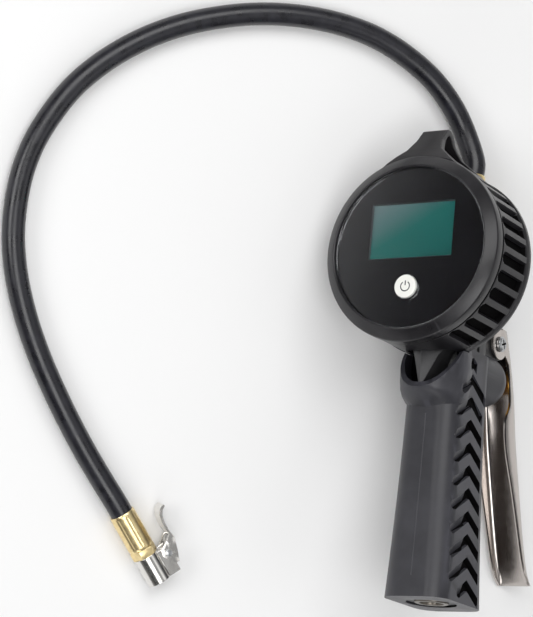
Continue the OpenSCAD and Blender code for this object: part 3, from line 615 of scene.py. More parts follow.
def bevelled(node: str, width: float, segments: int = 2, even: bool = False) -> bpy.types.Mesh:
    """Breaks a hard piece's edges.

    Args:
        node: The CAD node.
        width: Width of the broken edge in millimetres.
        segments: Steps across it.
        even: Whether large faces rule the shading beside small ones.

    Returns:
        The new mesh.
    """
    work = copy_of(node)
    edge = work.modifiers.new("edge", "BEVEL")
    edge.width = width * MM
    edge.segments = segments
    edge.limit_method = "ANGLE"
    edge.angle_limit = math.radians(FLAT)
    edge.use_clamp_overlap = True
    if even:
        work.data.shade_smooth()
        work.modifiers.new("shade", "WEIGHTED_NORMAL")
    return baked(work)


def edged(
    node: str, name: str, width: float, finish: Finish, body: Body = Body.TOOL, angle: float = 40.0
) -> bpy.types.Object:
    """Puts a CAD node into the scene in its own stead, its edges broken by a width in millimetres."""
    return finished(bevelled(node, width), name, finish, node, body, angle)


def coated(finish: Finish, *nodes: str) -> None:
    """Gives CAD nodes, left as they are, a finish.

    Args:
        finish: The finish.
        nodes: The nodes' names.
    """
    material = finish.build()
    for node in nodes:
        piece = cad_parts[node]
        if not piece.material_slots:
            piece.data.materials.append(material)
        for place in piece.material_slots:
            place.material = material
        LOG.info("%s: CAD solid, %s", node, finish.name)


def ringed(name: str, rings: Sequence[Sequence[Point]], bands: Sequence[tuple[int, int]]) -> bpy.types.Mesh:
    """Makes a mesh of closed rings of points with bands of faces between them.

    Args:
        name: The mesh's name.
        rings: The points of each ring, in the tool's frame.
        bands: Which two rings each band joins.

    Returns:
        The mesh, in metres.
    """
    shell = bmesh.new()
    rows = [[shell.verts.new(place) for place in ring] for ring in rings]
    for first, second in bands:
        near, far = rows[first], rows[second]
        for i in range(len(near)):
            j = (i + 1) % len(near)
            shell.faces.new((near[i], near[j], far[j], far[i]))
    bmesh.ops.recalc_face_normals(shell, faces=shell.faces)
    bmesh.ops.transform(shell, matrix=TOOL.matrix(), verts=shell.verts)
    mesh = bpy.data.meshes.new(name)
    shell.to_mesh(mesh)
    shell.free()
    return mesh


class Recipe:
    """A Geometry Nodes tree with named sizes, which makes one plain mesh."""

    def __init__(self, name: str, sizes: dict[str, float]) -> None:
        """Starts the tree.

        Args:
            name: The tree's name.
            sizes: Each input's name and value.
        """
        self.tree = bpy.data.node_groups.new(name, "GeometryNodeTree")
        face = self.tree.interface
        self.values = {
            face.new_socket(size, in_out="INPUT", socket_type="NodeSocketFloat").identifier: value
            for size, value in sizes.items()
        }
        face.new_socket("Geometry", in_out="OUTPUT", socket_type="NodeSocketGeometry")
        self.add: Adder = partial(add_node, self.tree)
        self.size = self.add("NodeGroupInput").outputs

    def place(self) -> list[bpy.types.NodeSocket]:
        """Returns the sockets of a point's X, Y and Z."""
        return list(self.add(SPLIT, {"Vector": self.add("GeometryNodeInputPosition")}).outputs)

    def wire(self, line: bpy.types.Node, radius: bpy.types.NodeSocket, corners: int) -> bpy.types.Node:
        """Draws round wire with closed ends along a line.

        Args:
            line: The line.
            radius: The wire's radius.
            corners: Corners of its section.

        Returns:
            The wire.
        """
        section = self.add("GeometryNodeCurvePrimitiveCircle", {"Resolution": corners, "Radius": radius})
        sweep = {"Curve": line, "Profile Curve": section, "Fill Caps": True}
        return self.add("GeometryNodeCurveToMesh", sweep)

    def pressed_in(
        self, geometry: bpy.types.Node, place: list[bpy.types.NodeSocket], radius: Any, depth: bpy.types.Node
    ) -> bpy.types.Node:
        """Moves a round surface's points towards its axis, which is Z.

        Args:
            geometry: The surface.
            place: A point's X, Y and Z.
            radius: Its distance from the axis.
            depth: How far it moves.

        Returns:
            The changed surface.
        """
        share = self.add(MATH, (depth, radius), operation="DIVIDE")
        inward = self.add(MATH, (share, -1.0), operation="MULTIPLY")
        flat = self.add(COMBINE, {"X": place[0], "Y": place[1], "Z": 0.0})
        move = self.add("ShaderNodeVectorMath", {"Vector": flat, "Scale": inward}, operation="SCALE")
        return self.add(SET_PLACE, {"Geometry": geometry, "Offset": move})

    def mesh(self, geometry: bpy.types.Node, finish: Finish, lie: Matrix) -> bpy.types.Mesh:
        """Ends the tree, runs it and puts the result in its place.

        Args:
            geometry: The tree's last geometry.
            finish: The finish that it sets.
            lie: Matrix from the recipe's millimetres to the model.

        Returns:
            The mesh, in metres.
        """
        real = self.add("GeometryNodeRealizeInstances", {"Geometry": geometry})
        dressed = self.add("GeometryNodeSetMaterial", {"Geometry": real, "Material": finish.build()})
        self.add("NodeGroupOutput", {"Geometry": dressed})
        work = placed("work", bpy.data.meshes.new("work"))
        modifier = work.modifiers.new("recipe", "NODES")
        modifier.node_group = self.tree
        for key, value in self.values.items():
            modifier[key] = value
        mesh = baked(work)
        shell = bmesh.new()
        shell.from_mesh(mesh)
        bmesh.ops.transform(shell, matrix=lie, verts=shell.verts)
        bmesh.ops.remove_doubles(shell, verts=shell.verts, dist=RECIPE_WELD)
        bmesh.ops.recalc_face_normals(shell, faces=shell.faces)
        shell.to_mesh(mesh)
        shell.free()
        return mesh


@dataclass(frozen=True)
class Coil:
    """Round wire on a helix that stands on z = 0."""

    radius: float
    wire: float
    turns: float
    height: float
    steps: int = 32
    corners: int = 8

    def mesh(self, name: str, finish: Finish, lie: Matrix) -> bpy.types.Mesh:
        """Winds the wire.

        Args:
            name: The recipe's name.
            finish: The wire's finish.
            lie: Matrix from the coil's millimetres to the model.

        Returns:
            The mesh, in metres.
        """
        sizes = {"Radius": self.radius, "Wire": self.wire, "Turns": self.turns, "Height": self.height}
        recipe = Recipe(name, sizes)
        helix = {
            "Resolution": self.steps,
            "Rotations": recipe.size["Turns"],
            "Start Radius": recipe.size["Radius"],
            "End Radius": recipe.size["Radius"],
            "Height": recipe.size["Height"],
        }
        spiral = recipe.add("GeometryNodeCurveSpiral", helix)
        return recipe.mesh(recipe.wire(spiral, recipe.size["Wire"], self.corners), finish, lie)


# ---------- sub-assemblies ----------
@dataclass
class Hose:
    """The air hose and the two ferrules crimped on its ends."""

    diameter: float = 11.0
    ferrule_r: float = 6.2
    ferrule_len: float = 19.5
    ferrule_sides: int = 128
    ferrule_rows: int = 26
    flutes: int = 8
    flute_depth: float = 0.18
    # the higher, the narrower each flute
    flute_power: float = 9.0
    # distances from a ferrule's end between which the flutes deepen
    jaw: Pair = (1.0, 2.4)
    chamfer_len: float = 0.7
    chamfer_depth: float = 0.35
    outlet_y: float = 9.0
    ferrule_base: float = 32.6
    # straight stretches of the hose beside the ferrules
    upper_straight: float = 8.0
    lower_straight: float = 6.0
    table_z: float = 5.6
    steps: int = 5

    # the route's points on the table, as in the part's source
    PLAN: tuple[Pair, ...] = (
        (-4, 119), (-13, 130), (-25, 140), (-40, 148), (-56, 153.6), (-72, 156.2), (-88, 156.7),
        (-104.5, 155.4), (-121, 152.3), (-136.6, 147.6), (-152, 141.4), (-166, 133.8), (-179, 124.6),
        (-190.7, 114), (-200.8, 102), (-208.6, 88.6), (-214.6, 74.3), (-218, 59.6), (-218.8, 44.6),
        (-217.6, 29.4), (-214.1, 14.5), (-208.8, 0.3), (-202, -13.7), (-194.2, -27), (-185.8, -39.5),
        (-176.7, -52), (-167, -64.3), (-157, -76),
    )

    def route(self) -> list[Vector]:
        """Returns the route's points in metres, from the upper ferrule to the chuck's."""
        start = self.ferrule_base + self.ferrule_len
        points = [TOOL.at(0, self.outlet_y, start), TOOL.at(0, self.outlet_y, start + self.upper_straight)]
        points += [Vector((x, y, self.table_z)) * MM for x, y in self.PLAN]
        return points + [CHUCK.at(-self.lower_straight, 0, 0), CHUCK.at(0, 0, 0)]

    def centreline(self) -> list[Vector]:
        """Returns the smooth curve through the route, by cubic pieces."""
        knots = self.route()
        last = len(knots) - 1
        line: list[Vector] = []
        for i in range(last):
            a, b, c, d = knots[max(i - 1, 0)], knots[i], knots[i + 1], knots[min(i + 2, last)]
            first, second, third = c - a, 2 * a - 5 * b + 4 * c - d, 3 * b - a - 3 * c + d
            for t in (j / self.steps for j in range(self.steps)):
                line.append(0.5 * (2 * b + first * t + second * t * t + third * t * t * t))
        return line + [knots[last]]

    def ferrule(self, name: str, finish: Finish, lie: Matrix) -> bpy.types.Mesh:
        """Makes a crimped ferrule that stands on z = 0.

        Args:
            name: The recipe's name.
            finish: Its finish.
            lie: Matrix from the ferrule's millimetres to the model.

        Returns:
            The mesh, in metres.
        """
        sizes = {"Radius": self.ferrule_r, "Length": self.ferrule_len, "Depth": self.flute_depth}
        recipe = Recipe(name, sizes | {"Flutes": float(self.flutes)})
        add, size = recipe.add, recipe.size
        blank = {"Vertices": self.ferrule_sides, "Side Segments": self.ferrule_rows}
        blank |= {"Radius": size["Radius"], "Depth": size["Length"]}
        tube = add("GeometryNodeMeshCylinder", blank)
        place = recipe.place()
        turn = add(MATH, (place[1], place[0]), operation="ARCTAN2")
        waves = add(MATH, (turn, size["Flutes"]), operation="MULTIPLY")
        ripple = add(MATH, (waves,), operation="COSINE")
        raised = add(MATH, (ripple, 0.5, 0.5), operation="MULTIPLY_ADD")
        flute = add(MATH, (raised, self.flute_power), operation="POWER")
        # the jaws press only between the ends
        half = add(MATH, (size["Length"], 0.5), operation="MULTIPLY")
        off_middle = add(MATH, (place[2],), operation="ABSOLUTE")
        inner = add(MATH, (half, off_middle), operation="SUBTRACT")
        reach = add(RANGE, (inner, *self.jaw), interpolation_type="SMOOTHSTEP")
        share = add(MATH, (flute, reach), operation="MULTIPLY")
        press = add(MATH, (share, size["Depth"]), operation="MULTIPLY")
        # the ends are turned to a small chamfer
        chamfer = add(RANGE, (inner, 0.0, self.chamfer_len, self.chamfer_depth, 0.0))
        depth = add(MATH, (press, chamfer), operation="ADD")
        pressed = recipe.pressed_in(tube, place, size["Radius"], depth)
        return recipe.mesh(pressed, finish, lie @ Matrix.Translation((0, 0, self.ferrule_len / 2)))

    def build(self, on_it: list[bpy.types.Object]) -> None:
        """Makes the hose and its ferrules.

        Args:
            on_it: The pieces at the hose's free end. Not used.
        """
        upper = self.ferrule("crimp_upper", TOOL_BRASS, TOOL.stand((0, self.outlet_y, self.ferrule_base)))
        finished(upper, "ferrule_at_tool", TOOL_BRASS, "upper_ferrule")
        lower = self.ferrule("crimp_lower", CHUCK_BRASS, CHUCK.stand((0, 0, 0), 90, "Y"))
        far = finished(lower, "ferrule_at_chuck", CHUCK_BRASS, "lower_ferrule")
        line = self.centreline()
        curve = bpy.data.curves.new("hose_line", "CURVE")
        curve.dimensions = "3D"
        curve.bevel_depth = self.diameter / 2 * MM
        curve.bevel_resolution = 8
        curve.use_fill_caps = True
        spline = curve.splines.new("POLY")
        spline.points.add(len(line) - 1)
        for point, place in zip(spline.points, line):
            point.co = (*place, 1.0)
        spline.use_smooth = True
        curve.materials.append(HOSE_RUBBER.build())
        hose = placed("air_hose", curve)
        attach(hose, Body.TOOL.value)
        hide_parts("hose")


@dataclass
class Chuck:
    """The clip-on chuck at the free end of the hose."""

    # widths of the broken edges: die-cast, turned, of the pin and moulded
    cast_edge: float = 0.25
    turned_edge: float = 0.2
    pin_edge: float = 0.15
    seal_edge: float = 0.1
    # the die-cast faces meet at shallow angles that stay crisp
    crisp: float = 22.0
    coil: Coil = Coil(radius=1.6, wire=0.36, turns=3.0, height=2.0)
    hinge: Point = (27.6, 9.4, -1.0)

    def build(self) -> list[bpy.types.Object]:
        """Makes the chuck's pieces.

        Returns:
            Every piece of the chuck.
        """
        pieces = [
            edged("chuck_nipple", "nipple", self.turned_edge, CHUCK_BRASS),
            edged("chuck_body", "chuck_barrel", self.cast_edge, CHUCK_CHROME, angle=self.crisp),
            edged("chuck_clip", "thumb_clip", self.cast_edge, CHUCK_CHROME, Body.CLIP, self.crisp),
            edged("clip_pin", "hinge_pin", self.pin_edge, ZINC_STEEL),
        ]
        wound = self.coil.mesh("clip_coil", SPRING_WIRE, CHUCK.stand(self.hinge))
        pieces.append(finished(wound, "clip_coil", SPRING_WIRE, "clip_spring"))
        return pieces + [edged("chuck_seal", "mouth_seal", self.seal_edge, SEAL_RUBBER)]


@dataclass
class RibbedBoot:
    """The gauge's rubber boot: a turned section with pockets pressed into its side, which leave ribs."""

    radius: float = 45.0
    lens_r: float = 39.0
    bore_gap: float = 0.3
    lip_w: float = 1.0
    lip: float = 1.3
    lip_edge: float = 0.4
    seat: float = 0.1
    shelf: float = 6.1
    wall_r: float = 41.5
    barrel_r: float = 39.5
    # how far the skin between the rings, and the channels beside them, lie below the rings
    skin_in: float = 0.4
    channel_in: float = 1.0
    slope: float = 0.6
    # front ring and the channel behind it, by their distance behind the lens face
    ring_from: float = 2.6
    ring_to: float = 7.4
    channel_to: float = 8.8
    rear_step: float = 1.4
    back: float = 38.4
    back_lip_r: float = 37.4
    back_lip_t: float = 1.3
    rounding: float = 0.35
    # corners of the section that lie further in than this stay sharp
    rounded_in: float = 5.8
    pockets: int = 32
    pocket_w: float = 5.8
    pocket_depth: float = 3.4
    pocket_from: float = 9.8
    pocket_to: float = 34.2
    draft: float = 0.5
    # middle and half width, in degrees, of the stretches without pockets: at the loop and at the neck
    bare: tuple[Pair, ...] = ((270.0, 34.0), (90.0, 19.0))
    # stretch of the channel that gets painted shade, by its distance behind the lens face
    shade: Pair = (7.5, 9.2)
    # pockets and channel start this far outside the wall
    outer_gap: float = 0.1
    neck_r: float = 12.3
    neck_at: float = 33.0
    notch_depth: float = 14.0
    notch_in: float = 6.0
    notch_len: float = 20.0
    # columns of faces to a pocket, and rows along the pockets, which start on the skin between two depths
    cells: int = 24
    rows: int = 52
    rows_start: Pair = (9.5, 12.0)
    skin_reach: float = 0.45

    def section(self) -> list[Point]:
        """Returns the section's corners: radius less the boot's own, and height over the lens face."""
        ring, skin, channel = self.radius, self.radius - self.skin_in, self.radius - self.channel_in
        bore, shelf_back = self.lens_r + self.bore_gap, self.back - self.back_lip_t
        corners = [
            (bore, -self.seat), (bore, self.lip_edge - self.lip), (self.lens_r + self.lip_w, -self.lip),
            (skin, self.ring_from - self.slope), (ring, self.ring_from), (ring, self.ring_to),
            (channel, self.ring_to + self.slope), (channel, self.channel_to),
            (skin, self.channel_to + self.slope), (skin, self.pocket_to),
            (channel, self.pocket_to + self.slope), (ring, self.pocket_to + self.rear_step),
            (ring, self.back - self.skin_in), (skin, self.back), (self.back_lip_r, self.back),
            (self.back_lip_r, shelf_back), (self.barrel_r, shelf_back), (self.barrel_r, self.shelf),
            (self.wall_r, self.shelf), (self.wall_r, -self.seat),
        ]
        return [(r - self.radius, -depth, 0.0) for r, depth in corners]

    def turned(self, recipe: Recipe) -> bpy.types.Node:
        """Adds the section, rounded at its outer corners, turned round the gauge's axis.

        Args:
            recipe: The boot's recipe.

        Returns:
            The turned mesh.
        """
        add = recipe.add
        corners = self.section()
        pick = add("GeometryNodeIndexSwitch", data_type="VECTOR")
        while len(pick.index_switch_items) < len(corners):
            pick.index_switch_items.new()
        feed(pick, (add("GeometryNodeInputIndex"), *corners))
        chain = add("GeometryNodeMeshLine", {"Count": len(corners)})
        bent = add(SET_PLACE, {"Geometry": chain, "Position": pick})
        line = add("GeometryNodeMeshToCurve", {"Mesh": bent})
        loop = add("GeometryNodeSetSplineCyclic", {"Geometry": line, "Cyclic": True})
        x, y, _ = recipe.place()
        outside = add(MATH, (x, -self.rounded_in), operation="GREATER_THAN")
        radius = add(MATH, (outside, recipe.size["Rounding"]), operation="MULTIPLY")
        corner = {"Curve": loop, "Radius": radius, "Count": 2, "Limit Radius": True}
        rounded = add("GeometryNodeFilletCurve", corner, mode="POLY")
        # the stretch that the pockets are pressed into gets its own rows
        on_skin = add(MATH, (x, -self.skin_reach), operation="GREATER_THAN")
        past = add(MATH, (y, -self.rows_start[0]), operation="LESS_THAN")
        before = add(MATH, (y, -self.rows_start[1]), operation="GREATER_THAN")
        between = add(MATH, (past, before), operation="MULTIPLY")
        here = add(MATH, (on_skin, between), operation="MULTIPLY")
        cuts = add(MATH, (here, float(self.rows)), operation="MULTIPLY")
        rows = add("GeometryNodeSubdivideCurve", {"Curve": rounded, "Cuts": cuts})
        circle = {"Resolution": self.pockets * self.cells, "Radius": recipe.size["Radius"]}
        round_way = add("GeometryNodeCurvePrimitiveCircle", circle)
        return add("GeometryNodeCurveToMesh", {"Curve": round_way, "Profile Curve": rows})

    def pocket_share(
        self, recipe: Recipe, turns: bpy.types.Node, height: bpy.types.NodeSocket
    ) -> bpy.types.Node:
        """Works out how much of a pocket's depth a point has.

        Args:
            recipe: The boot's recipe.
            turns: The point's turn round the axis, in whole turns.
            height: Its distance behind the lens face.

        Returns:
            The share, 0 outside the pockets and 1 on their floors.
        """
        add, size = recipe.add, recipe.size
        step = add(MATH, (turns, size["Pockets"]), operation="MULTIPLY")
        fraction = add(MATH, (step,), operation="FRACT")
        aside = add(MATH, (fraction, 0.5), operation="SUBTRACT")
        girth = add(MATH, (size["Radius"], 2 * math.pi), operation="MULTIPLY")
        pitch = add(MATH, (girth, size["Pockets"]), operation="DIVIDE")
        across = add(MATH, (aside, pitch), operation="MULTIPLY")
        # round front end: past its centre only the distance across counts
        half = add(MATH, (size["Pocket Width"], 0.5), operation="MULTIPLY")
        centre = add(MATH, (size["Pocket From"], half), operation="ADD")
        before = add(MATH, (centre, height), operation="SUBTRACT")
        ahead = add(MATH, (before, 0.0), operation="MAXIMUM")
        from_centre = add("ShaderNodeVectorMath", [add(COMBINE, (across, ahead))], operation="LENGTH")
        to_side = add(MATH, (half, from_centre), operation="SUBTRACT")
        to_end = add(MATH, (size["Pocket To"], height), operation="SUBTRACT")
        inside = add(MATH, (to_side, to_end), operation="MINIMUM")
        share = add(RANGE, (inside, 0.0, size["Draft"]), interpolation_type="SMOOTHSTEP")
        number = add(MATH, (step,), operation="FLOOR")
        half_on = add(MATH, (number, 0.5), operation="ADD")
        middle = add(MATH, (half_on, size["Pockets"]), operation="DIVIDE")
        wrapped = add(MATH, (middle,), operation="FRACT")
        degrees = add(MATH, (wrapped, 360.0), operation="MULTIPLY")
        for where, gap in self.bare:
            apart = add(MATH, (degrees, where), operation="SUBTRACT")
            away = add(MATH, (apart,), operation="ABSOLUTE")
            kept = add(MATH, (away, gap), operation="GREATER_THAN")
            share = add(MATH, (share, kept), operation="MULTIPLY")
        return share

    def pressed(self, recipe: Recipe, turned: bpy.types.Node) -> bpy.types.Node:
        """Presses the pockets in and marks them and the channel for painted shade.

        Args:
            recipe: The boot's recipe.
            turned: The turned mesh.

        Returns:
            The mesh with its pockets and their mark.
        """
        add = recipe.add
        place = recipe.place()
        turn = add(MATH, (place[1], place[0]), operation="ARCTAN2")
        part = add(MATH, (turn, 2 * math.pi), operation="DIVIDE")
        turns = add(MATH, (part, 1.0), operation="ADD")
        flat = add(COMBINE, (place[0], place[1]))
        radius = add("ShaderNodeVectorMath", [flat], operation="LENGTH")
        outer = add(MATH, (radius, self.wall_r + self.outer_gap), operation="GREATER_THAN")
        mark = add(MATH, (self.pocket_share(recipe, turns, place[2]), outer), operation="MULTIPLY")
        # the channel behind the front ring gets painted shade too
        behind = add(MATH, (place[2], self.shade[0]), operation="GREATER_THAN")
        before = add(MATH, (place[2], self.shade[1]), operation="LESS_THAN")
        within = add(MATH, (behind, before), operation="MULTIPLY")
        channel = add(MATH, (within, outer), operation="MULTIPLY")
        dark = add(MATH, (mark, channel), operation="MAXIMUM")
        marks = {"Geometry": turned, "Name": SHADE_ATTRIBUTE, "Value": dark}
        marked = add("GeometryNodeStoreNamedAttribute", marks, data_type="FLOAT", domain="FACE")
        depth = add(MATH, (mark, recipe.size["Pocket Depth"]), operation="MULTIPLY")
        return recipe.pressed_in(marked, place, radius, depth)

    def mesh(self) -> bpy.types.Mesh:
        """Returns the boot, notched for the neck."""
        sizes = {
            "Radius": self.radius,
            "Rounding": self.rounding,
            "Pockets": float(self.pockets),
            "Pocket Width": self.pocket_w,
            "Pocket Depth": self.pocket_depth,
            "Pocket From": self.pocket_from,
            "Pocket To": self.pocket_to,
            "Draft": self.draft,
            "Neck Radius": self.neck_r,
        }
        recipe = Recipe("ribbed_boot", sizes)
        add, neck = recipe.add, recipe.size["Neck Radius"]
        sunk = self.pressed(recipe, self.turned(recipe))
        bore = add("GeometryNodeMeshCylinder", {"Vertices": 96, "Radius": neck, "Depth": self.notch_depth})
        middle_y, end_z = self.radius - self.notch_in, self.neck_at + self.notch_len / 2
        bore_lie = {"Translation": (0.0, middle_y, self.neck_at), "Rotation": (math.radians(90), 0.0, 0.0)}
        upright = add("GeometryNodeTransform", {"Geometry": bore} | bore_lie)
        wide = add(MATH, (neck, 2.0), operation="MULTIPLY")
        extent = add(COMBINE, (wide, self.notch_depth, self.notch_len))
        block = add("GeometryNodeMeshCube", {"Size": extent})
        moved = add("GeometryNodeTransform", {"Geometry": block, "Translation": (0.0, middle_y, end_z)})
        cut = {"Mesh 1": sunk, "Mesh 2": [upright, moved]}
        notched = add("GeometryNodeMeshBoolean", cut, operation="DIFFERENCE", solver="MANIFOLD")
        return recipe.mesh(notched, BOOT_RUBBER, TOOL.stand((0, FACE_Y, 0), -90))


@dataclass
class GaugeHead:
    """The digital gauge in its rubber boot."""

    lens_r: float = 39.0
    lens_t: float = 2.0
    lens_rim: float = 0.35
    lens_sides: int = 128
    air: float = 0.12
    window_w: float = 43.6
    window_h: float = 27.0
    window_up: float = 8.6
    bezel: float = 0.45
    # insets and depths of the painted edge behind the lens
    hair: float = 0.02
    bezel_depth: float = 0.8
    bezel_foot: float = 0.95
    button_down: float = 19.2
    button_r: float = 5.5
    button_gap: float = 0.35
    button_edge: float = 0.5
    # how finely the hanging loop is skinned anew, and how often its skin is relaxed
    loop_voxel: float = 0.4
    loop_rounds: int = 4
    hole_rim: float = 0.2
    button_face: float = -50.7
    mark_r: float = 2.3
    mark_line: float = 0.28
    mark_bar: float = 1.5
    # where the sign's ring starts and how far it goes, in degrees
    mark_arc: Pair = (125.0, 290.0)
    # ends of the bar from the ring's middle, as shares of its length
    bar_ends: Pair = (0.3, 1.8)
    # the print's thickness as a share of its line's
    mark_flat: float = 0.18

    def lens(self) -> bpy.types.Mesh:
        """Returns the lens, a disc with rounded rims and a hole for the button."""
        hole, back = self.button_r + self.button_gap, self.lens_t - self.air
        outer = [(self.lens_r - self.lens_rim, 0.0), (self.lens_r, self.lens_rim), (self.lens_r, back)]
        inner = [(hole + self.hole_rim, 0.0), (hole, self.hole_rim), (hole, back)]
        turns = [2 * math.pi * i / self.lens_sides for i in range(self.lens_sides)]
        rings = [
            [(r * math.cos(a), FACE_Y + depth, r * math.sin(a) - down) for a in turns]
            for profile, down in ((outer, 0.0), (inner, self.button_down))
            for r, depth in profile
        ]
        return ringed("lens", rings, [(0, 1), (1, 2), (3, 4), (4, 5), (0, 3), (2, 5)])

    def window_edge(self) -> bpy.types.Mesh:
        """Returns the painted edge of the display window, a sloped frame inside the plate's opening."""
        profile = [(self.hair, self.hair), (self.bezel, self.bezel_depth), (self.hair, self.bezel_foot)]
        rings = []
        for inset, depth in profile:
            w, h, y = self.window_w / 2 - inset, self.window_h / 2 - inset, FACE_Y + self.lens_t + depth
            rings.append([(x, y, self.window_up + z) for x, z in ((w, h), (-w, h), (-w, -h), (w, -h))])
        return ringed("window_edge", rings, [(0, 1), (1, 2), (2, 0)])

    def power_mark(self) -> bpy.types.Mesh:
        """Returns the plain power sign on the button: an open ring and a bar."""
        recipe = Recipe("power_sign", {"Radius": self.mark_r, "Line": self.mark_line, "Bar": self.mark_bar})
        add, size = recipe.add, recipe.size
        start, sweep = map(math.radians, self.mark_arc)
        arc = {"Resolution": 40, "Radius": size["Radius"], "Start Angle": start, "Sweep Angle": sweep}
        ring = add("GeometryNodeCurveArc", arc)
        lengths = [add(MATH, (size["Bar"], share), operation="MULTIPLY") for share in self.bar_ends]
        foot, head = [add(COMBINE, {"Y": length}) for length in lengths]
        bar = add("GeometryNodeCurvePrimitiveLine", {"Start": foot, "End": head})
        both = add("GeometryNodeJoinGeometry", {"Geometry": [ring, bar]})
        drawn = recipe.wire(both, size["Line"], 10)
        face = TOOL.stand((0, self.button_face, -self.button_down), 90)
        return recipe.mesh(drawn, MARK_INK, face @ Matrix.Diagonal((1, 1, self.mark_flat, 1)))

    def build(self) -> None:
        """Makes and dresses the gauge head."""
        finished(RibbedBoot().mesh(), "boot", BOOT_RUBBER, "gauge_boot", angle=60, shade_finish=PAINTED_SHADE_RUBBER)
        loop = softened("hanging_loop", self.loop_voxel, self.loop_rounds)
        finished(loop, "loop", LOOP_RUBBER, "hanging_loop", angle=180)
        finished(self.lens(), "clear_lens", LENS_CLEAR, "lens")
        finished(self.window_edge(), "window_edge", BEZEL)
        button = bevelled("power_button", self.button_edge, 3)
        finished(button, "push_button", BUTTON_WHITE, "power_button", Body.BUTTON)
        finished(self.power_mark(), "power_sign", MARK_INK, body=Body.BUTTON)
        coated(DIAL_BLACK, "dial_plate")
        coated(DISPLAY, "display_module")
        coated(CASE_ABS, "gauge_case", "case_back", "battery_door", "button_switch")
        coated(BOARD, "circuit_board")
        coated(CELL_STEEL, "coin_cell")
        coated(ZINC_STEEL, "case_screws")
        coated(VALVE_BRASS, "pressure_sensor")


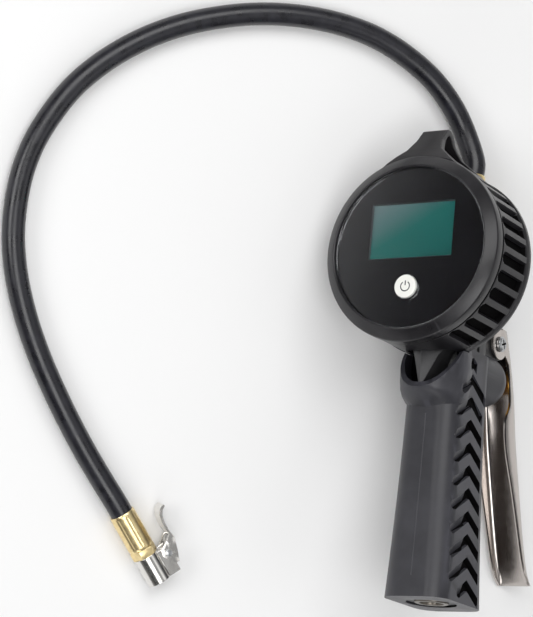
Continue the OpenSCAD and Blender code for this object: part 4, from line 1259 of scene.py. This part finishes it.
@dataclass
class Handle:
    """The grip, the body inside it, its air inlet and the hose fitting."""

    # widths of the broken edges: of the overmould, the nylon body, the inlet and the hose fitting
    grip_edge: float = 0.4
    body_edge: float = 0.5
    inlet_edge: float = 0.4
    fitting_edge: float = 0.3
    inlet_r: float = 5.7
    thread_pitch: float = 1.337
    thread_len: float = 12.0
    thread_wire: float = 0.42
    # the thread starts this far inside the foot
    thread_in: float = 1.0
    foot_z: float = -160.0
    top_z: float = -62.0
    width: float = 28.6
    depth: float = 40.0
    corner: float = 9.5
    # the grip swells and leans towards its foot
    flare: float = 4.6
    flare_back: float = 0.8
    swell: float = 1.5
    middle_y: float = -0.5
    lean: float = 1.2
    collar_z: float = -72.0
    foot_rim: float = 1.5
    slots_y: float = -14.0
    # depths below the grip's outside past which the grooves' walls and floors get painted shade
    wall_shade_depth: float = 0.9
    floor_shade_depth: float = 2.2
    # over the neck the grooves' rear arms are shallow, so their painted shade starts nearer the outside
    arm_y: float = -3.5
    arm_z: float = -76.0
    arm_shade_depth: float = 0.8
    wall_turn: float = 0.6
    line_from: float = -73.0
    line_to: float = -150.0
    line_r: float = 0.3
    line_proud: float = 0.12
    line_points: int = 60
    # the line is laid from this far in front, and looks for the grip over this reach
    ray_y: float = -45.0
    ray_reach: float = 60.0

    def depth_at(self, place: Vector) -> float:
        """Works out how deep a point lies below the grip's outside.

        Args:
            place: The point, in the tool's frame.

        Returns:
            The depth in millimetres, below 0 outside.
        """
        down = max(self.top_z - place.z, 0.0) / (self.top_z - self.foot_z)
        swell = down**self.swell
        half_w = self.width / 2 + self.flare / 2 * swell - self.corner
        half_d = self.depth / 2 + self.flare * self.flare_back * swell - self.corner
        aside = abs(place.x) - half_w
        ahead = abs(place.y - self.middle_y - self.lean * down) - half_d
        outside = math.hypot(max(aside, 0.0), max(ahead, 0.0))
        return self.corner - outside - min(max(aside, ahead), 0.0)

    def mark_painted_shade(self, sleeve: bpy.types.Mesh) -> None:
        """Marks the grooves' walls and floors, below the collar, for painted shade.

        Args:
            sleeve: The sleeve's mesh, in its place.
        """
        back = TOOL.back()
        outward = back.to_3x3().normalized()
        depths = []
        for place in (back @ vertex.co for vertex in sleeve.vertices):
            below = place.z < self.collar_z or place.y > self.slots_y
            above = place.z > self.foot_z + self.foot_rim
            depths.append(self.depth_at(place) if below and above else 0.0)
        marks = sleeve.attributes.new(SHADE_ATTRIBUTE, "FLOAT", "FACE").data
        for face in sleeve.polygons:
            depth = sum(depths[i] for i in face.vertices) / len(face.vertices)
            wall = abs((outward @ face.normal).x) < self.wall_turn
            place = back @ face.center
            over_neck = place.y > self.arm_y and place.z > self.arm_z
            floor = self.arm_shade_depth if over_neck else self.floor_shade_depth
            if depth > (min(self.wall_shade_depth, floor) if wall else floor):
                marks[face.index].value = 1.0

    def parting_line(self, grip: bpy.types.Object) -> bpy.types.Mesh:
        """Lays the mould's parting line down the front of the grip.

        Args:
            grip: The grip that it lies on.

        Returns:
            The line's mesh.
        """
        sizes = {"Top": self.line_from, "Foot": self.line_to, "Radius": self.line_r, "Proud": self.line_proud}
        recipe = Recipe("parting_line", sizes)
        add, size = recipe.add, recipe.size
        top, foot = [add(COMBINE, (0.0, self.ray_y, size[end])) for end in ("Top", "Foot")]
        line = add("GeometryNodeCurvePrimitiveLine", {"Start": top, "End": foot})
        fine = add("GeometryNodeResampleCurve", {"Curve": line, "Count": self.line_points})
        # the grip is in the model's metres, so it is brought to the tool's millimetres
        target = add("GeometryNodeObjectInfo", {"Object": grip}, transform_space="ORIGINAL")
        back = TOOL.back()
        local = {
            "Geometry": target.outputs["Geometry"],
            "Translation": back.to_translation(),
            "Rotation": back.to_3x3().normalized().to_euler(),
            "Scale": (1 / MM,) * 3,
        }
        ray = {"Ray Direction": (0.0, 1.0, 0.0), "Ray Length": self.ray_reach}
        hit = add("GeometryNodeRaycast", {"Target Geometry": add("GeometryNodeTransform", local)} | ray)
        inward = add(MATH, (size["Radius"], size["Proud"]), operation="SUBTRACT")
        sink = add(COMBINE, (0.0, inward, 0.0))
        place = add("ShaderNodeVectorMath", (hit.outputs["Hit Position"], sink), operation="ADD")
        laid = add(SET_PLACE, {"Geometry": fine, "Position": place})
        return recipe.mesh(recipe.wire(laid, size["Radius"], 10), GRIP_RUBBER, TOOL.matrix())

    def build(self) -> None:
        """Makes and dresses the handle."""
        sleeve = bevelled("grip_sleeve", self.grip_edge, 3, even=True)
        self.mark_painted_shade(sleeve)
        grip = finished(sleeve, "grip", GRIP_RUBBER, "grip_sleeve", shade_finish=PAINTED_SHADE_RUBBER)
        finished(self.parting_line(grip), "parting_line", GRIP_RUBBER)
        edged("core_body", "body_shell", self.body_edge, BODY_NYLON)
        coil = Coil(self.inlet_r, self.thread_wire, self.thread_len / self.thread_pitch, self.thread_len)
        thread = coil.mesh("inlet_thread", INLET_SHADED_NICKEL, TOOL.stand((0, 0, self.foot_z + self.thread_in)))
        edged("inlet_bushing", "inlet", self.inlet_edge, INLET_SHADED_NICKEL)
        finished(thread, "inlet_thread", INLET_SHADED_NICKEL)
        edged("hose_fitting", "outlet_fitting", self.fitting_edge, TOOL_BRASS)
        coated(BODY_NYLON, "grip_tube")


@dataclass
class Trigger:
    """The squeeze lever, its pivot and the valve that it opens."""

    spring_r: float = 3.6
    spring_wire: float = 0.5
    spring_turns: float = 4.0
    spring_from: float = -8.4
    spring_to: float = 0.6
    valve_z: float = -45.5
    # share of its length that the spring keeps when the lever is squeezed
    spring_keep: float = 0.58
    edge: float = 0.3
    screw_edge: float = 0.1
    # the pressed sheet's bends up to this angle are shaded smooth, in degrees
    lever_crisp: float = 50.0
    # the screw head's rim reaches this far below its top, and the recess's faces lie between two depths
    rim: float = 0.3
    recess_r: float = 2.45
    recess: Pair = (0.06, 1.05)

    def mark_shaded_recess(self, screw: bpy.types.Mesh) -> None:
        """Marks the cross recess in the pivot screw's head for painted shade.

        Args:
            screw: The screw's mesh, in its place.
        """
        back = TOOL.back()
        places = [back @ vertex.co for vertex in screw.vertices]
        top = max(place.x for place in places)
        rim = [place for place in places if place.x > top - self.rim]
        middle = sum(rim, Vector()) / len(rim)
        marks = screw.attributes.new(SHADE_ATTRIBUTE, "FLOAT", "FACE").data
        for face in screw.polygons:
            place = back @ face.center
            near = math.hypot(place.y - middle.y, place.z - middle.z) < self.recess_r
            if near and self.recess[0] < top - place.x < self.recess[1]:
                marks[face.index].value = 1.0

    def build(self) -> None:
        """Makes and dresses the trigger and the valve."""
        edged("trigger_lever", "squeeze_lever", self.edge, LEVER_CHROME, Body.TRIGGER, self.lever_crisp)
        screw = bevelled("pivot_screw", self.screw_edge)
        self.mark_shaded_recess(screw)
        finished(screw, "pivot_bolt", ZINC_STEEL, "pivot_screw", shade_finish=SCREW_RECESS_SHADE)
        edged("pivot_nut", "lock_nut", self.edge, ZINC_STEEL)
        edged("valve_gland", "gland", self.edge, VALVE_BRASS)
        coated(VALVE_BRASS, "valve_seat", "valve_stem")
        coil = Coil(self.spring_r, self.spring_wire, self.spring_turns, self.spring_to - self.spring_from)
        lie = TOOL.stand((0, self.spring_from, self.valve_z), -90)
        wound = coil.mesh("valve_coil", SPRING_WIRE, lie)
        spring = finished(wound, "valve_coil", SPRING_WIRE, "valve_spring")
        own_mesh(spring)


@dataclass
class Studio:
    """Floor, lights, sky and camera, in metres."""

    floor_size: float = 6.0
    floor_drop: float = 0.0002
    floor_colour: str = "#f4f4f4"
    floor_roughness: float = 0.8
    fibres_per_m: float = 120.0
    fibre_relief: float = 0.00002
    sky: str = "#ffffff"
    sky_level: float = 0.29
    # the room's dark side, and the pale sweep that rises a little way in front of it
    wall: str = "#4a3a30"
    wall_level: float = 0.2
    wall_side: Point = (-0.988, 0.0, 0.154)
    wall_edge: Pair = (0.3, 0.85)
    sweep_level: float = 0.95
    sweep_rise: Pair = (0.06, 0.125)
    # a dark screen above, beside the camera
    screen_side: Point = (-0.405, -0.669, 0.625)
    screen_edge: Pair = (0.95, 0.975)
    screen_level: float = 0.04
    camera_right: Point = (0.932057, 0.169562, 0.320185)
    camera_up: Point = (-0.165203, 0.985409, -0.040941)
    camera_back: Point = (-0.322455, -0.014735, 0.94647)
    camera_at: Point = (-0.50498, -0.00386, 1.22731)
    focal: float = 181.55
    sensor: float = 36.0
    far: float = 20.0
    # each lamp: place, size across, size along, power in watts; all point at one place
    lamps: tuple[tuple[str, Point, float, float, float], ...] = (
        ("top", (-0.3, -0.35, 1.5), 0.8, 0.8, 7.3),
        ("key", (-0.3, 0.8, 1.3), 1.3, 0.8, 9.7),
        ("left", (-1.3, 0.1, 0.9), 0.9, 0.6, 7.1),
        ("right", (1.1, -0.1, 1.2), 0.9, 0.9, 1.8),
        ("foot", (-0.2, -1.4, 0.7), 0.9, 0.5, 3.0),
    )
    lit: Point = (-0.05, 0.0, 0.03)

    def camera(self) -> None:
        """Sets up the camera."""
        data = bpy.data.cameras.new("camera")
        data.lens = self.focal
        data.sensor_width = self.sensor
        data.sensor_fit = "HORIZONTAL"
        data.clip_end = self.far
        camera = placed("camera", data)
        columns = (self.camera_right, self.camera_up, self.camera_back, self.camera_at)
        camera.matrix_world = Matrix([[column[i] for column in columns] for i in range(3)] + [[0, 0, 0, 1]])
        bpy.context.scene.camera = camera

    def backdrop_shader(self) -> bpy.types.Material:
        """Returns the floor's material, pale and matt."""
        made = bpy.data.materials.new("PaleMattFloor")
        made.use_nodes = True
        made.node_tree.nodes.clear()
        add = partial(add_node, made.node_tree)
        where = add("ShaderNodeTexCoord").outputs["Object"]
        fibres = add(NOISE, {"Vector": where, "Scale": self.fibres_per_m, "Detail": 2.0})
        bump = add(BUMP, {"Height": fibres, "Distance": self.fibre_relief})
        values = {"Base Color": srgb(self.floor_colour), "Roughness": self.floor_roughness, "Normal": bump}
        add("ShaderNodeOutputMaterial", {"Surface": add(SHADER, values)})
        return made

    def floor(self) -> None:
        """Lays the floor."""
        half = self.floor_size / 2
        mesh = bpy.data.meshes.new("floor")
        corners = [(-half, -half, 0), (half, -half, 0), (half, half, 0), (-half, half, 0)]
        mesh.from_pydata(corners, [], [range(4)])
        mesh.materials.append(self.backdrop_shader())
        floor = placed("floor", mesh)
        floor.location.z = -self.floor_drop

    @staticmethod
    def toward(add: Adder, ray: bpy.types.NodeSocket, side: Point, edge: Pair) -> bpy.types.Node:
        """Returns a mask of the room's side, which grows between two cosines of the angle to its middle."""
        facing = add("ShaderNodeVectorMath", (ray, side), operation="DOT_PRODUCT")
        return add(RANGE, (facing, *edge), interpolation_type="SMOOTHSTEP")

    def light(self) -> None:
        """Hangs the lamps and lights the sky."""
        for name, place, across, along, power in self.lamps:
            data = bpy.data.lights.new(name, "AREA")
            data.shape = "RECTANGLE"
            data.size = across
            data.size_y = along
            data.energy = power
            lamp = placed(name, data)
            lamp.location = place
            lamp.rotation_euler = (Vector(place) - Vector(self.lit)).to_track_quat("Z", "Y").to_euler()
        world = bpy.data.worlds.new("sky")
        bpy.context.scene.world = world
        world.use_nodes = True
        world.node_tree.nodes.clear()
        add = partial(add_node, world.node_tree)
        # the room that the lens and the plated parts mirror
        ray = add("ShaderNodeTexCoord").outputs["Generated"]
        wall = self.toward(add, ray, self.wall_side, self.wall_edge)
        screen = self.toward(add, ray, self.screen_side, self.screen_edge)
        height = add(SPLIT, {"Vector": ray}).outputs["Z"]
        levels = (height, *self.sweep_rise, self.sweep_level, self.wall_level)
        sweep = add(RANGE, levels, interpolation_type="SMOOTHSTEP")
        beside = add(MIX, {"Factor": wall, "A": self.sky_level, "B": sweep}, data_type="FLOAT")
        level = add(MIX, {"Factor": screen, "A": beside, "B": self.screen_level}, data_type="FLOAT")
        brown = add(RANGE, (height, *self.sweep_rise))
        amount = add(MATH, (wall, brown), operation="MULTIPLY")
        tones = {"Factor": amount, "A": srgb(self.sky), "B": srgb(self.wall)}
        sky = add("ShaderNodeBackground", {"Color": add(MIX, tones, data_type="RGBA"), "Strength": level})
        add("ShaderNodeOutputWorld", {"Surface": sky})
        bpy.context.scene.view_settings.view_transform = "Standard"


def main() -> None:
    """Builds every sub-assembly in order."""
    logging.basicConfig(level=logging.INFO, format="%(message)s")
    studio = Studio()
    studio.camera()
    Hose().build(Chuck().build())
    GaugeHead().build()
    Handle().build()
    Trigger().build()
    studio.floor()
    studio.light()


if __name__ == "__main__":
    main()
